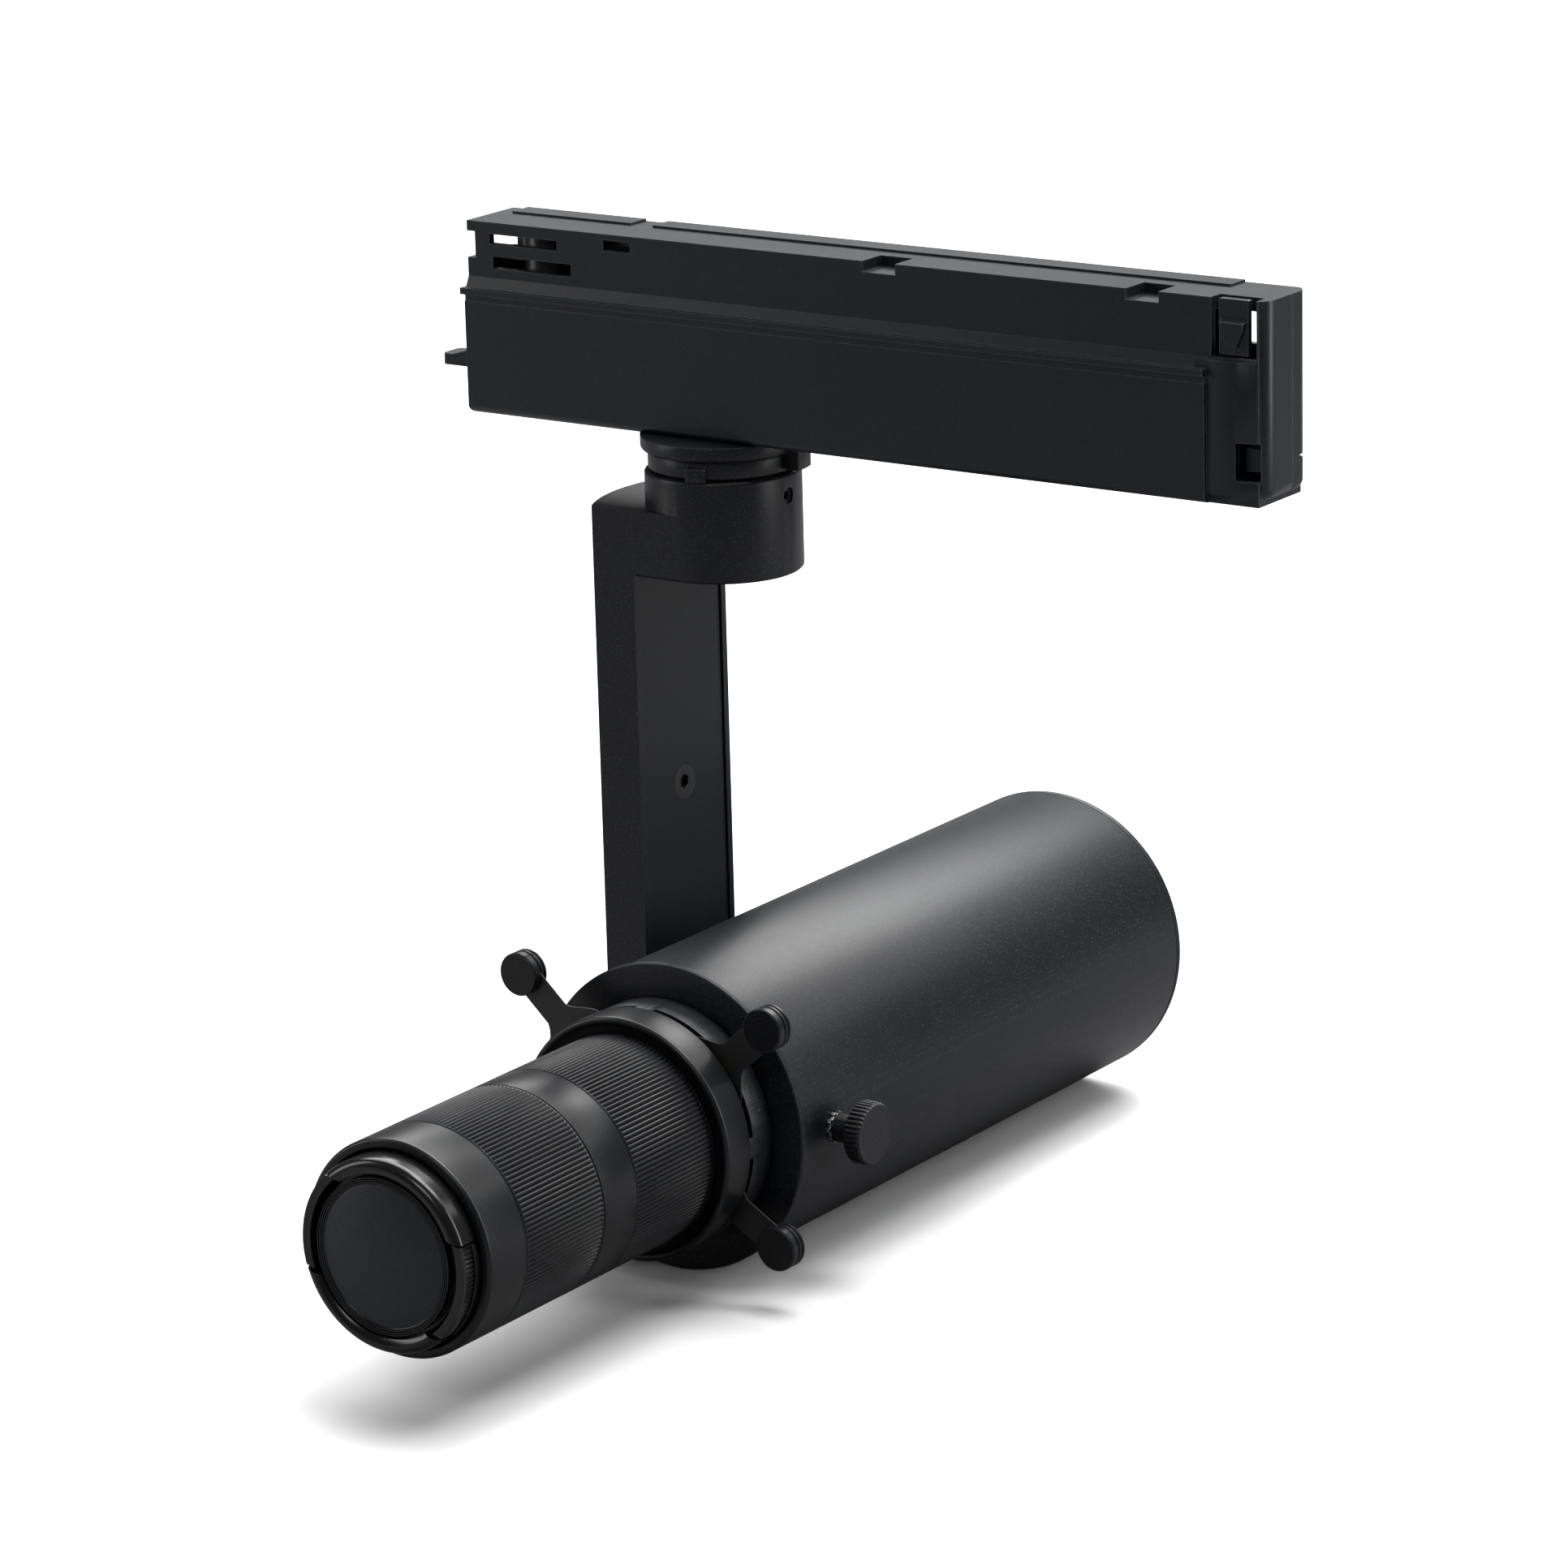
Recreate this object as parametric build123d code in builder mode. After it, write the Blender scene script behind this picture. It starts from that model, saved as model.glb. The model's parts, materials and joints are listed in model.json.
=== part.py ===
from build123d import *
import os
from math import cos, radians, sin, sqrt

# Track-mounted framing spotlight, in millimetres.
# Origin: where the swivel axis meets the seat plane of the track lips. +Z up, +X along the adapter
# towards its release end, and the lens points along -Y. "s" is a distance along the lamp axis,
# counted from the tilt axis towards the lens.

# ---- clearances ----
turn_gap = 0.06        # radial gap of a shaft or sleeve that turns
slide_gap = 0.05       # radial gap of a sleeve that slides
seat_gap = 0.03        # radial gap between pieces that are fixed together
face_gap = 0.10        # axial gap between faces that rub
free_gap = 0.30        # gap between neighbours that move past each other

# ---- track adapter ----
seat_height = 28.8     # box floor to the seat plane of the track lips
box_height = 43.9
low_width = 21.4       # below the track
top_width = 17.6       # inside the track slot
box_left = 62.7        # swivel axis to the plain end
box_right = 144.95     # swivel axis to the nose
nose_length = 13.95
nose_step = 0.8        # the nose stands back from the front face by this much
nose_corner = 3.9      # radius of its upright corners
nose_flat = 5.3        # half width of the flat end of the nose
nose_round = 2.6       # bottom edge of the nose
nose_rise = 1.5        # the underside curves up to the tip by this much
nose_ledge = 30.9
column_length = 1.95
shell_wall = 1.8
roof_wall = 3.0
seam_y = 2.0
ridge_reach = 0.7
ridge_low = 27.3
ridge_slope = 2.4
box_round = 1.6
slot_1_reach = (10.4, 8.4)     # contact slots, each way from the carrier's axis
slot_1_height = (39.0, 41.2)
slot_2_reach = (9.6, 12.1)
slot_2_height = (33.4, 36.2)
window_small = (-24.7, -17.4, 40.2, 42.5)
roof_notch = (44.5, 53.0)      # the first from the swivel axis, the second back from the tip
roof_notch_end = (33.95, 25.95)
roof_notch_depth = 2.4
roof_pad_from = 4.7    # in from the plain end
roof_pad_split = (-25.0, -19.0)
roof_pad_to = 14.95    # back from the tip
roof_pad_height = 0.6
end_notch = (35.5, 41.5)
end_notch_depth = 2.2
screw_near = (-30.0, 45.0)
screw_far = 24.95      # back from the tip
screw_height = 5.6
screw_head_r = 2.6
screw_head_len = 2.0
screw_r = 1.4
post_r = 3.2

# ---- contact carrier and lock lever ----
rotor_inset = 16.7     # plain end to the carrier's axis
rotor_r = 6.0
rotor_pin_r = 2.2
blade_reach = 10.6
blade_half = 1.3
blade_thick = 1.2
lever_low = 8.6
lever_root = 4.9
lever_tip = 2.6
lever_reach = 29.4
lever_half = 3.4
lever_hub_r = 8.2

# ---- release end ----
tongue_inset = 11.35   # back from the tip
tongue_width = 7.1
tongue_thick = 1.4
tongue_low = 32.0
tongue_gap = 1.9
tongue_back_gap = 5.0  # the back gap is wider, and closed over by the roof
tongue_back_drop = 2.0
tongue_travel = 1.2
tooth_reach = 1.4
selector_inset = (7.0, 1.6)    # back from the tip
selector_room = (5.5, 13.6)
selector_width = 4.0
selector_height = 4.8

# ---- driver ----
board_from = -24.0
board_inset = 22.95    # back from the tip
board_low = 9.2
board_top = 38.0
board_thick = 1.6

# ---- swivel ----
disc_r = 18.4
disc_thick = 3.4
spigot_r = 9.0
stem_r = 5.0
stem_bore_r = 3.2
nut_height = 4.5
ring_r = 16.8
ring_low = 7.4
groove_low = 7.9
lug_angle = -75.0
lug_half = 7.5
lug_r = 18.3
block_angle = 8.0
block_half = 9.0
block_r = 20.6
block_low = 6.9

# ---- boss and arm ----
boss_low = 31.0
arm_width = 35.3
arm_front = 12.8       # swivel axis to the arm's flat face
arm_side = 11.1
arm_crown = 4.3
arm_top = 16.0
rail = 1.75
channel_depth = 10.2
cover_recess = 0.5
cover_thick = 1.8
cover_ledge = 3.8
cover_low = 122.0      # below the box floor, like every depth in this block
cover_screw_depth = 82.9
cover_screw_r = 4.0
cover_screw_cone = 1.4
set_screw_depth = 12.8
set_screw_r = 1.8
lead_r = 2.2

# ---- tilt ----
tilt_depth = 139.4     # box floor to the tilt axis
tilt_bolt_r = 4.0
tilt_head_r = 7.0
tilt_head_len = 3.4
tilt_nut_r = 7.4
tilt_nut_len = 3.8
pad_r = 12.0
pad_inset = 5.2

# ---- lamp body ----
body_clear = 2.1       # arm's flat face to the body's side
body_r = 34.4
body_wall = 2.2
body_front = 58.7
body_back = 98.0
cover_end = 100.5
flange_rim = 0.6
flange_front = 60.5
flange_spigot = 4.7
rear_round = 1.6
rear_screw_r = 1.5
rear_screw_inset = 8.2  # body bore to the screw circle
vent_inset = 4.2

# ---- light engine ----
sink_back = 94.0
sink_front = 44.0
sink_base = 8.0
fin_count = 9
fin_thick = 2.0
led_board = 24.0
led_board_thick = 1.6
led_r = 7.0
led_thick = 0.8
holder_r = 22.0
holder_front = 38.0
reflector_mouth_r = 22.0
reflector_throat_r = 9.0
reflector_front = 4.0
reflector_wall = 1.2
condenser_r = 23.0
condenser_from = 13.0
condenser_to = 27.0
condenser_lip = 2.0

# ---- gate and shutters ----
drum_r = 27.5
sleeve_step = 1.0
sleeve_wall = 2.1
sleeve_back = 40.0
keeper_rim = 2.5
keeper_from = 50.0
gate_front = 69.6      # seam between drum and collar
gate_slot = 1.5
gate_slot_half = 40.0
gate_plate_thick = 1.2
gate_r = 12.0
gate_pocket_wall = 1.6
blade_sheet = 0.3
blade_pitch = 0.35
shutter_angles = (41.0, 137.0, 225.0, -31.0)
shutter_back = (12.4, 10.2, 11.8, 14.2)   # pocket wall to each blade's straight edge, at rest
shutter_travel = 7.0
knob_clear = 1.0       # knob to collar, blade pushed in
shutter_half = 11.0
shutter_neck = 3.6
shutter_flare = (16.9, 10.4)   # blade's straight edge to where the flare starts and ends
knob_r = 4.9
knob_front = 2.1
knob_back = 2.1
guide_inset = 5.4      # blade edge to the guide pin
guide_r = 1.2
guide_head_r = 2.0
head_pocket = 1.5      # depth of the room left for a guide's head

# ---- collar and lens ----
collar_front = 78.1
collar_dish_gap = 0.7  # lens ring to the collar's rim
collar_rim = 3.1
collar_dish = 1.2      # depth of the dished front face
collar_round = 1.0
web_thick = 2.0
web_land = 3.1         # innermost guide to the web's bore
lens_r = 23.9
barrel_r = 21.2
barrel_bore_r = 19.6
barrel_front = 152.0
zoom_back = 77.3
zoom_front = 106.0
focus_back = 117.7
focus_front = 144.9
nose_front = 157.6
ring_gap = 0.12
relief_depth = 1.3
cell_wall = 2.4
zoom_cell = (83.0, 95.0)
zoom_travel = (-4.0, 6.0)
focus_cell = (126.0, 136.0)
focus_travel = (-5.0, 5.0)
pin_r = 1.2
lens_edge = 2.0
lens_land = 2.2
lens_crown = 2.2

# ---- lens cap ----
cap_front = 163.6
cap_r = 21.2
cap_bore_gap = 0.5
cap_back = 152.6
cap_wall = 1.6
cap_lip_r = 17.8
cap_floor = 160.4
cap_floor_thick = 1.2
dish_r = 17.2
dish_front = 162.9
pad_angle = -16.0
pad_half = 10.8
pad_outer = 21.5
pad_inner = 19.0
pad_from = 158.0
pad_to = 163.3
pad_side_gap = 0.5

# ---- thumbscrew ----
thumb_s = 47.3
thumb_r = 7.0
thumb_thick = 4.1
thumb_collar_r = 3.3
thumb_collar_len = 5.6
thumb_shaft_r = 2.0
washer_r = 3.0
washer_thick = 1.0
thumb_tip_gap = 0.3

# ---- places worked out from the sizes ----
floor_z = -seat_height
roof_z = floor_z + box_height
half_low = low_width / 2
half_top = top_width / 2
ridge_half = half_low + ridge_reach
nose_start = box_right - nose_length
column_start = box_right - column_length
rotor_x = rotor_inset - box_left
window_slot_1 = (rotor_x - slot_1_reach[0], rotor_x + slot_1_reach[1], *slot_1_height)
window_slot_2 = (rotor_x - slot_2_reach[0], rotor_x + slot_2_reach[1], *slot_2_height)
selector_window = (box_right - selector_inset[0], box_right - selector_inset[1], *selector_room)
tongue_from = box_right - tongue_inset
roof_notches = (roof_notch, (box_right - roof_notch_end[0], box_right - roof_notch_end[1]))
roof_pads = ((roof_pad_from - box_left, roof_pad_split[0]), (roof_pad_split[1], box_right - roof_pad_to))
screw_xs = (*screw_near, box_right - screw_far)
board_to = box_right - board_inset
arm_x = -arm_front
lamp_x = arm_x + body_clear + body_r
tilt_z = floor_z - tilt_depth
arm_half = arm_width / 2
cover_shank_r = cover_screw_r - cover_screw_cone
body_bore_r = body_r - body_wall
flange_r = body_r + flange_rim
pad_face = lamp_x - body_r
web_front = gate_front + web_thick
ring_bore_r = barrel_r + turn_gap
sleeve_r = drum_r - sleeve_step
sleeve_bore_r = sleeve_r - sleeve_wall
keeper_r = sleeve_r + keeper_rim
gate_pocket_r = drum_r - gate_pocket_wall
collar_dish_r = lens_r + collar_dish_gap
collar_r = collar_dish_r + collar_rim
shutter_open = [gate_pocket_r - back for back in shutter_back]
shutter_edge = collar_r + shutter_travel + knob_r + knob_clear - min(shutter_open)
web_bore_r = min(shutter_open) + guide_inset - web_land
shutter_planes = [gate_front - gate_slot + blade_pitch * i + 0.1 for i in range(4)]
from_base = (Align.CENTER, Align.CENTER, Align.MIN)
from_top = (Align.CENTER, Align.CENTER, Align.MAX)


def up(height):
    """Height above the box floor, in the model's frame."""
    return floor_z + height


def down(depth):
    """Depth below the box floor, in the model's frame."""
    return floor_z - depth


def at(s):
    """Plane across the lamp axis: its normal points to the lens, its X and Y are +X and +Z."""
    return Plane(origin=(lamp_x, -s, tilt_z), x_dir=(1, 0, 0), z_dir=(0, -1, 0))


lamp_axis = Axis((lamp_x, 0, tilt_z), (0, -1, 0))
# half section through the lamp axis: X is the radius and Y is s
lamp_section = Plane(origin=(lamp_x, 0, tilt_z), x_dir=(1, 0, 0), z_dir=(0, 0, -1))
os.makedirs("parts", exist_ok=True)


def keep(part, name):
    """Label a finished piece and write its file."""
    part.label = name
    export_step(part, "parts/" + name + ".step")


def turned(name, outline):
    """A piece turned about the lamp axis from (radius, s) corners."""
    with BuildPart() as piece:
        with BuildSketch(lamp_section):
            with BuildLine():
                Polyline(*outline, close=True)
            make_face()
        revolve(axis=lamp_axis)
    keep(piece.part, name)


def slab(x0, x1, y0, y1, z0, z1, mode=Mode.ADD):
    """A box between two corners, in the part being built."""
    with Locations(((x0 + x1) / 2, (y0 + y1) / 2, (z0 + z1) / 2)):
        Box(x1 - x0, y1 - y0, z1 - z0, mode=mode)


# ================= adapter shells =================
def plan(inset):
    """Plan outline of the lower box with its rounded nose, drawn inset from the outer wall."""
    half = half_low - inset
    start = half - nose_step
    centre = (box_right - nose_corner, nose_flat)
    bend = nose_corner - inset
    turn = (centre[0], centre[1] + bend)
    tip = box_right - inset
    side_mid = ((nose_start + turn[0]) / 2, (start + turn[1]) / 2 + 0.5)
    corner_mid = (centre[0] + bend / sqrt(2), centre[1] + bend / sqrt(2))
    with BuildSketch() as outline:
        with BuildLine():
            Polyline(
                (nose_start, start),
                (nose_start, half),
                (inset - box_left, half),
                (inset - box_left, -half),
                (nose_start, -half),
                (nose_start, -start),
            )
            ThreePointArc((nose_start, -start), (side_mid[0], -side_mid[1]), (turn[0], -turn[1]))
            ThreePointArc((turn[0], -turn[1]), (corner_mid[0], -corner_mid[1]), (tip, -nose_flat))
            Line((tip, -nose_flat), (tip, nose_flat))
            ThreePointArc((tip, nose_flat), corner_mid, turn)
            ThreePointArc(turn, side_mid, (nose_start, start))
        make_face()
    return outline.sketch


nose_root = 3.0        # how far the nose reaches back into the box
with BuildPart() as nose:
    for start_x, height in ((nose_start - nose_root, nose_ledge), (column_start, box_height)):
        with BuildSketch(Plane.XY.offset(floor_z)):
            add(plan(0))
            with Locations((start_x - 100, 0)):
                Rectangle(200, 4 * half_low, mode=Mode.SUBTRACT)
            if start_x < nose_start:
                with Locations((nose_start - nose_root / 2, 0)):
                    Rectangle(nose_root, 4 * half_low, mode=Mode.SUBTRACT)
                    Rectangle(nose_root, 2 * (half_low - nose_step))
        extrude(amount=height)
    # the underside curves up to the tip
    run = nose_length + nose_root
    low_r = (run**2 + nose_rise**2) / (2 * nose_rise)
    with Locations(Plane(origin=(box_right - run, 0, floor_z + low_r), z_dir=(0, 1, 0))):
        Cylinder(low_r, 4 * half_low, mode=Mode.INTERSECT)
    fillet(nose.edges().filter_by(lambda e: e.bounding_box().max.Z < floor_z + nose_rise + 0.01
                                  and e.center().X > box_right - run + 0.01), nose_round)


def shell_half(name, side):
    """One moulded half of the adapter: side is -1 for the front and 1 for the back."""
    face_low = side * half_low
    face_top = side * half_top
    inner = plan(shell_wall)
    with BuildPart() as shell:
        # full section up to the ridge, then the narrower part that enters the track
        with BuildSketch(Plane(origin=(-box_left, 0, floor_z), x_dir=(0, 1, 0), z_dir=(1, 0, 0))):
            with BuildLine():
                right = [
                    (half_low, 0),
                    (half_low, ridge_low - 1.5),
                    (half_low - 0.3, ridge_low - 1.5),
                    (half_low - 0.3, ridge_low),
                    (ridge_half, ridge_low),
                    (ridge_half, seat_height),
                    (half_top + 1.2, seat_height),
                    (half_top, seat_height + ridge_slope),
                    (half_top, box_height),
                ]
                Polyline(*right, *[(-y, z) for y, z in reversed(right)], close=True)
            make_face()
        extrude(amount=box_left + nose_start)
        add(nose.part)
        slab(nose_start, column_start, -half_top, half_top, floor_z, roof_z)
        slab(-box_left - ridge_reach, -box_left, -ridge_half, ridge_half, up(ridge_low), 0)
        floor_edges = shell.edges().filter_by(lambda e: abs(e.center().Z - floor_z) < 0.01)
        fillet(floor_edges.filter_by(lambda e: e.center().X < nose_start - 1), box_round)
        # cavity
        nose_floor = nose_rise + nose_round
        low_room = ridge_low - 1.5 - shell_wall - nose_floor
        extrude(inner.moved(Location((0, 0, up(nose_floor)))), amount=low_room, mode=Mode.SUBTRACT)
        slab(shell_wall - box_left, nose_start, shell_wall - half_low, half_low - shell_wall,
             up(shell_wall), up(nose_floor + 0.1), mode=Mode.SUBTRACT)
        slab(shell_wall - box_left, column_start - shell_wall, shell_wall - half_top, half_top - shell_wall,
             up(ridge_low - 4.0), roof_z - roof_wall, mode=Mode.SUBTRACT)
        slab(shell_wall - box_left + 0.4, window_small[1] - 12, shell_wall - half_top, half_top - shell_wall,
             up(30), roof_z - shell_wall, mode=Mode.SUBTRACT)
        # openings in this side's face: contact slots, small window, roof notches
        windows = (window_slot_1, window_slot_2, window_small) if side < 0 else (window_slot_2,)
        for x0, x1, z0, z1 in windows:
            slab(x0, x1, face_top - 3, face_top + 3, up(z0), up(z1), mode=Mode.SUBTRACT)
        if side < 0:
            for x0, x1 in roof_notches:
                slab(x0, x1, face_top - 1, -1.5, roof_z - roof_notch_depth, roof_z + 1, mode=Mode.SUBTRACT)
        # plain end: notch under the roof lip, and the lock lever's slot round the back corner
        slab(-box_left - 3, end_notch_depth - box_left, -half_top - 1, half_top + 1,
             up(end_notch[0]), up(end_notch[1]), mode=Mode.SUBTRACT)
        lever_gap = 0.5
        slab(-box_left - 3, shell_wall - box_left + 1, -lever_half - lever_gap, half_low + 1,
             up(lever_low - lever_gap), up(lever_low + lever_root + lever_gap), mode=Mode.SUBTRACT)
        slab(-box_left - 3, rotor_x + lever_half + lever_gap, half_low - shell_wall - 1, half_low + 1,
             up(lever_low - lever_gap), up(lever_low + lever_root + lever_gap), mode=Mode.SUBTRACT)
        # release end: gap for the snap tongue, window of the selector
        gap_from = tongue_from - (tongue_gap if side < 0 else tongue_back_gap)
        gap_roof = roof_z + 1 if side < 0 else roof_z - tongue_back_drop + free_gap
        gap_sides = sorted((face_top + 0.01 * side, face_top - 3.8 * side))
        slab(gap_from, tongue_from + tongue_width + tongue_gap, *gap_sides, up(tongue_low - 0.8), gap_roof,
             mode=Mode.SUBTRACT)
        if side < 0:
            x0, x1, z0, z1 = selector_window
            slab(x0, x1, -half_low - 1, -nose_flat, up(z0), up(z1), mode=Mode.SUBTRACT)
        # floor: hole for the swivel spigot and for the carrier's pin
        with Locations((0, 0, floor_z)):
            Cylinder(spigot_r + seat_gap, 6 * shell_wall, mode=Mode.SUBTRACT)
        with Locations((rotor_x, 0, floor_z)):
            Cylinder(rotor_pin_r + turn_gap, 6 * shell_wall, mode=Mode.SUBTRACT)
        # screw posts
        for x in screw_xs:
            post_y = side * (half_low - shell_wall / 2)
            with Locations(Plane(origin=(x, post_y, up(screw_height)), z_dir=(0, -side, 0))):
                Cylinder(post_r, half_low - shell_wall / 2 - side * seam_y, align=from_base)
        if side < 0:
            for x in (30.0, 90.0):
                slab(x - 1, x + 1, shell_wall / 2 - half_low, -board_thick / 2, up(20), up(22))
        split(bisect_by=Plane(origin=(0, seam_y, 0), z_dir=(0, side, 0)), keep=Keep.TOP)
        for x in screw_xs:
            with Locations(Plane(origin=(x, half_low, up(screw_height)), z_dir=(0, -1, 0))):
                Cylinder(screw_r + seat_gap, 2 * half_low - 2.5, mode=Mode.SUBTRACT, align=from_base)
                Cylinder(screw_head_r + seat_gap, screw_head_len, mode=Mode.SUBTRACT,
                         align=from_base)
        if side > 0:
            for x0, x1 in roof_pads:
                slab(x0, x1, seam_y + 0.3, half_top - 0.5, roof_z, roof_z + roof_pad_height)
            # parting step and slot on the nose
            slab(box_right - 6, box_right + 1, seam_y + 2.5, half_low, up(8.0), up(9.0), mode=Mode.SUBTRACT)
    keep(shell.part, name)


shell_half("adapter_front_shell", -1)
shell_half("adapter_back_shell", 1)

with BuildPart() as shell_screws:
    for x in screw_xs:
        with Locations(Plane(origin=(x, half_low, up(screw_height)), z_dir=(0, -1, 0))):
            Cylinder(screw_head_r, screw_head_len, align=from_base)
            Cylinder(screw_r, 2 * half_low - 4, align=from_base)
            Box(3.4, 0.7, 1.6, mode=Mode.SUBTRACT)
keep(shell_screws.part, "shell_screws")

# ================= driver inside the adapter =================
with BuildPart() as driver_board:
    slab(board_from, board_to, -board_thick / 2, board_thick / 2, up(board_low), up(board_top))
keep(driver_board.part, "driver_board")

with BuildPart() as transformer:
    slab(16, 38, board_thick / 2, 6.4, up(12), up(30))
    slab(20, 34, board_thick / 2, 6.8, up(11), up(31), mode=Mode.ADD)
    fillet(transformer.edges().filter_by(Axis.Y), 0.4)
keep(transformer.part, "transformer")

with BuildPart() as capacitors:
    for x in (52.0, 76.0):
        with Locations(Plane(origin=(x, -board_thick / 2 - 4.0, up(16)), z_dir=(1, 0, 0))):
            Cylinder(3.9, 18, align=from_base)
        slab(x + 1, x + 3, -board_thick / 2 - 0.6, -board_thick / 2, up(15), up(17))
keep(capacitors.part, "capacitors")

with BuildPart() as terminal_block:
    slab(-20, -4, -board_thick / 2 - 5.6, -board_thick / 2, up(12), up(22))
    for x in (-17, -12, -7):
        with Locations(Plane(origin=(x, -board_thick / 2 - 5.6, up(17)), z_dir=(0, -1, 0))):
            Hole(1.5, 4)
keep(terminal_block.part, "terminal_block")

# ================= contact carrier, contacts, lock lever =================
contact_levels = (
    ((window_slot_1[2] + window_slot_1[3]) / 2, 1),
    ((window_slot_2[2] + window_slot_2[3]) / 2, 1),
    ((window_slot_2[2] + window_slot_2[3]) / 2, -1),
)

with BuildPart() as phase_contacts:
    for level, way in contact_levels:
        ends = sorted((rotor_x + way * (rotor_r - 3), rotor_x + way * blade_reach))
        slab(*ends, -blade_half, blade_half, up(level - blade_thick / 2), up(level + blade_thick / 2))
keep(phase_contacts.part, "phase_contacts")

with BuildPart() as contact_carrier:
    with Locations((rotor_x, 0, up(shell_wall + free_gap))):
        Cylinder(rotor_r, box_height - 2 * shell_wall - 2 * free_gap, align=from_base)
    with Locations((rotor_x, 0, up(0.4))):
        Cylinder(rotor_pin_r, shell_wall, align=from_base)
    add(phase_contacts.part, mode=Mode.SUBTRACT)
keep(contact_carrier.part, "contact_carrier")

with BuildPart() as lock_lever:
    with BuildSketch(Plane.XY.offset(up(lever_low))):
        with Locations((rotor_x, 0)):
            Circle(lever_hub_r)
        with Locations((rotor_x - lever_reach / 2, 0)):
            Rectangle(lever_reach, 2 * lever_half)
    extrude(amount=lever_root)
    # the thumb end thins towards its tip
    with BuildSketch(Plane.XZ.offset(-2 * lever_half)):
        with BuildLine():
            tip_x = rotor_x - lever_reach
            Polyline(
                (tip_x - 1, up(lever_low + lever_tip)),
                (tip_x + 3, up(lever_low + lever_tip)),
                (-box_left - 1.0, up(lever_low + lever_root)),
                (-box_left - 1.0, up(lever_low + lever_root + 3)),
                (tip_x - 1, up(lever_low + lever_root + 3)),
                close=True,
            )
        make_face()
    extrude(amount=4 * lever_half, mode=Mode.SUBTRACT)
    fillet(lock_lever.edges().filter_by(Axis.Z).group_by(Axis.X)[0], 1.2)
    with Locations((rotor_x, 0, up(lever_low))):
        Cylinder(rotor_r + seat_gap, 4 * lever_root, mode=Mode.SUBTRACT)
keep(lock_lever.part, "lock_lever")

# ================= release end =================
def latch_tongue(name, side):
    """Snap tongue in the adapter's side face, with its wedge tooth."""
    face = side * half_top
    back = face - side * tongue_thick
    mid = tongue_from + tongue_width / 2
    with BuildPart() as tongue:
        top = roof_z if side < 0 else roof_z - tongue_back_drop
        slab(tongue_from, tongue_from + tongue_width, min(face, back), max(face, back), up(tongue_low), top)
        slab(mid - 2.6, mid + 2.6, min(back, back - side * 1.2), max(back, back - side * 1.2), up(34), up(40))
        with BuildSketch(Plane(origin=(mid, face, up(39.4)), x_dir=(1, 0, 0), z_dir=(0, side, 0))):
            reach = side * 5.6
            with BuildLine():
                Polyline((-3.2, 0), (3.2, 0), (3.0, 0.35 * reach), (1.4, reach), (-1.0, reach), (-3.0, 0.4 * reach),
                         close=True)
            make_face()
        extrude(amount=tooth_reach, taper=12)
    keep(tongue.part, name)


latch_tongue("latch_tongue_front", -1)
latch_tongue("latch_tongue_back", 1)

with BuildPart() as release_slider:
    x1 = selector_window[1] - 0.8
    mid_height = (selector_window[2] + selector_window[3]) / 2
    slab(x1 - selector_width, x1, -half_low + 4.0, 0,
         up(mid_height - selector_height / 2), up(mid_height + selector_height / 2))
    slab(x1 - 9.0, x1 - 0.6, -2.0, 1.6, up(mid_height - 3.4), up(mid_height + 3.4))
    fillet(release_slider.edges().filter_by(Axis.Z).group_by(Axis.Y)[0], 0.5)
keep(release_slider.part, "release_slider")

# ================= swivel =================
def sector(plane, r_in, r_out, angle, half_angle, height, mode=Mode.ADD):
    """A ring sector raised from a plane, in the part being built."""
    with BuildSketch(plane) as shape:
        with BuildLine():
            a0 = angle - half_angle
            a1 = angle + half_angle
            outer = CenterArc((0, 0), r_out, a0, a1 - a0)
            inner = CenterArc((0, 0), r_in, a0, a1 - a0)
            Line(outer @ 0, inner @ 0)
            Line(outer @ 1, inner @ 1)
        make_face()
    extrude(shape.sketch, amount=height, mode=mode)


with BuildPart() as swivel_disc:
    with Locations((0, 0, down(disc_thick))):
        Cylinder(disc_r, disc_thick, align=from_base)
    fillet(swivel_disc.edges().group_by(Axis.Z)[0], 1.2)
    with Locations((0, 0, floor_z)):
        Cylinder(spigot_r, shell_wall, align=from_base)
    sector(Plane.XY.offset(down(block_low)), ring_r + 2 * face_gap, block_r, block_angle, block_half,
           block_low - disc_thick + 1.3)
    sector(Plane.XY.offset(down(disc_thick)), disc_r - 1.5, block_r, block_angle, block_half, disc_thick - 1)
    with Locations((0, 0, floor_z)):
        Cylinder(stem_r + turn_gap, 8 * disc_thick, mode=Mode.SUBTRACT)
keep(swivel_disc.part, "swivel_disc")

with BuildPart() as stop_ring:
    with Locations((0, 0, down(groove_low))):
        Cylinder(ring_r - 1.3, groove_low - disc_thick - face_gap, align=from_base)
    with Locations((0, 0, down(ring_low))):
        Cylinder(ring_r, ring_low - disc_thick - face_gap, align=from_base)
    sector(Plane.XY.offset(down(groove_low)), ring_r - 2, lug_r, lug_angle, lug_half,
           groove_low - disc_thick - 1.3)
    with Locations((0, 0, floor_z)):
        Cylinder(stem_r + seat_gap, 8 * disc_thick, mode=Mode.SUBTRACT)
keep(stop_ring.part, "stop_ring")

stem_top = shell_wall + face_gap + nut_height + 1.0
stem_low = 22.0
with BuildPart() as swivel_stem:
    with Locations((0, 0, down(stem_low))):
        Cylinder(stem_r, stem_low + stem_top, align=from_base)
        Cylinder(stem_bore_r, stem_low + stem_top, align=from_base, mode=Mode.SUBTRACT)
    chamfer(swivel_stem.edges().group_by(Axis.Z)[-1], 0.4)
keep(swivel_stem.part, "swivel_stem")

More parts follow.
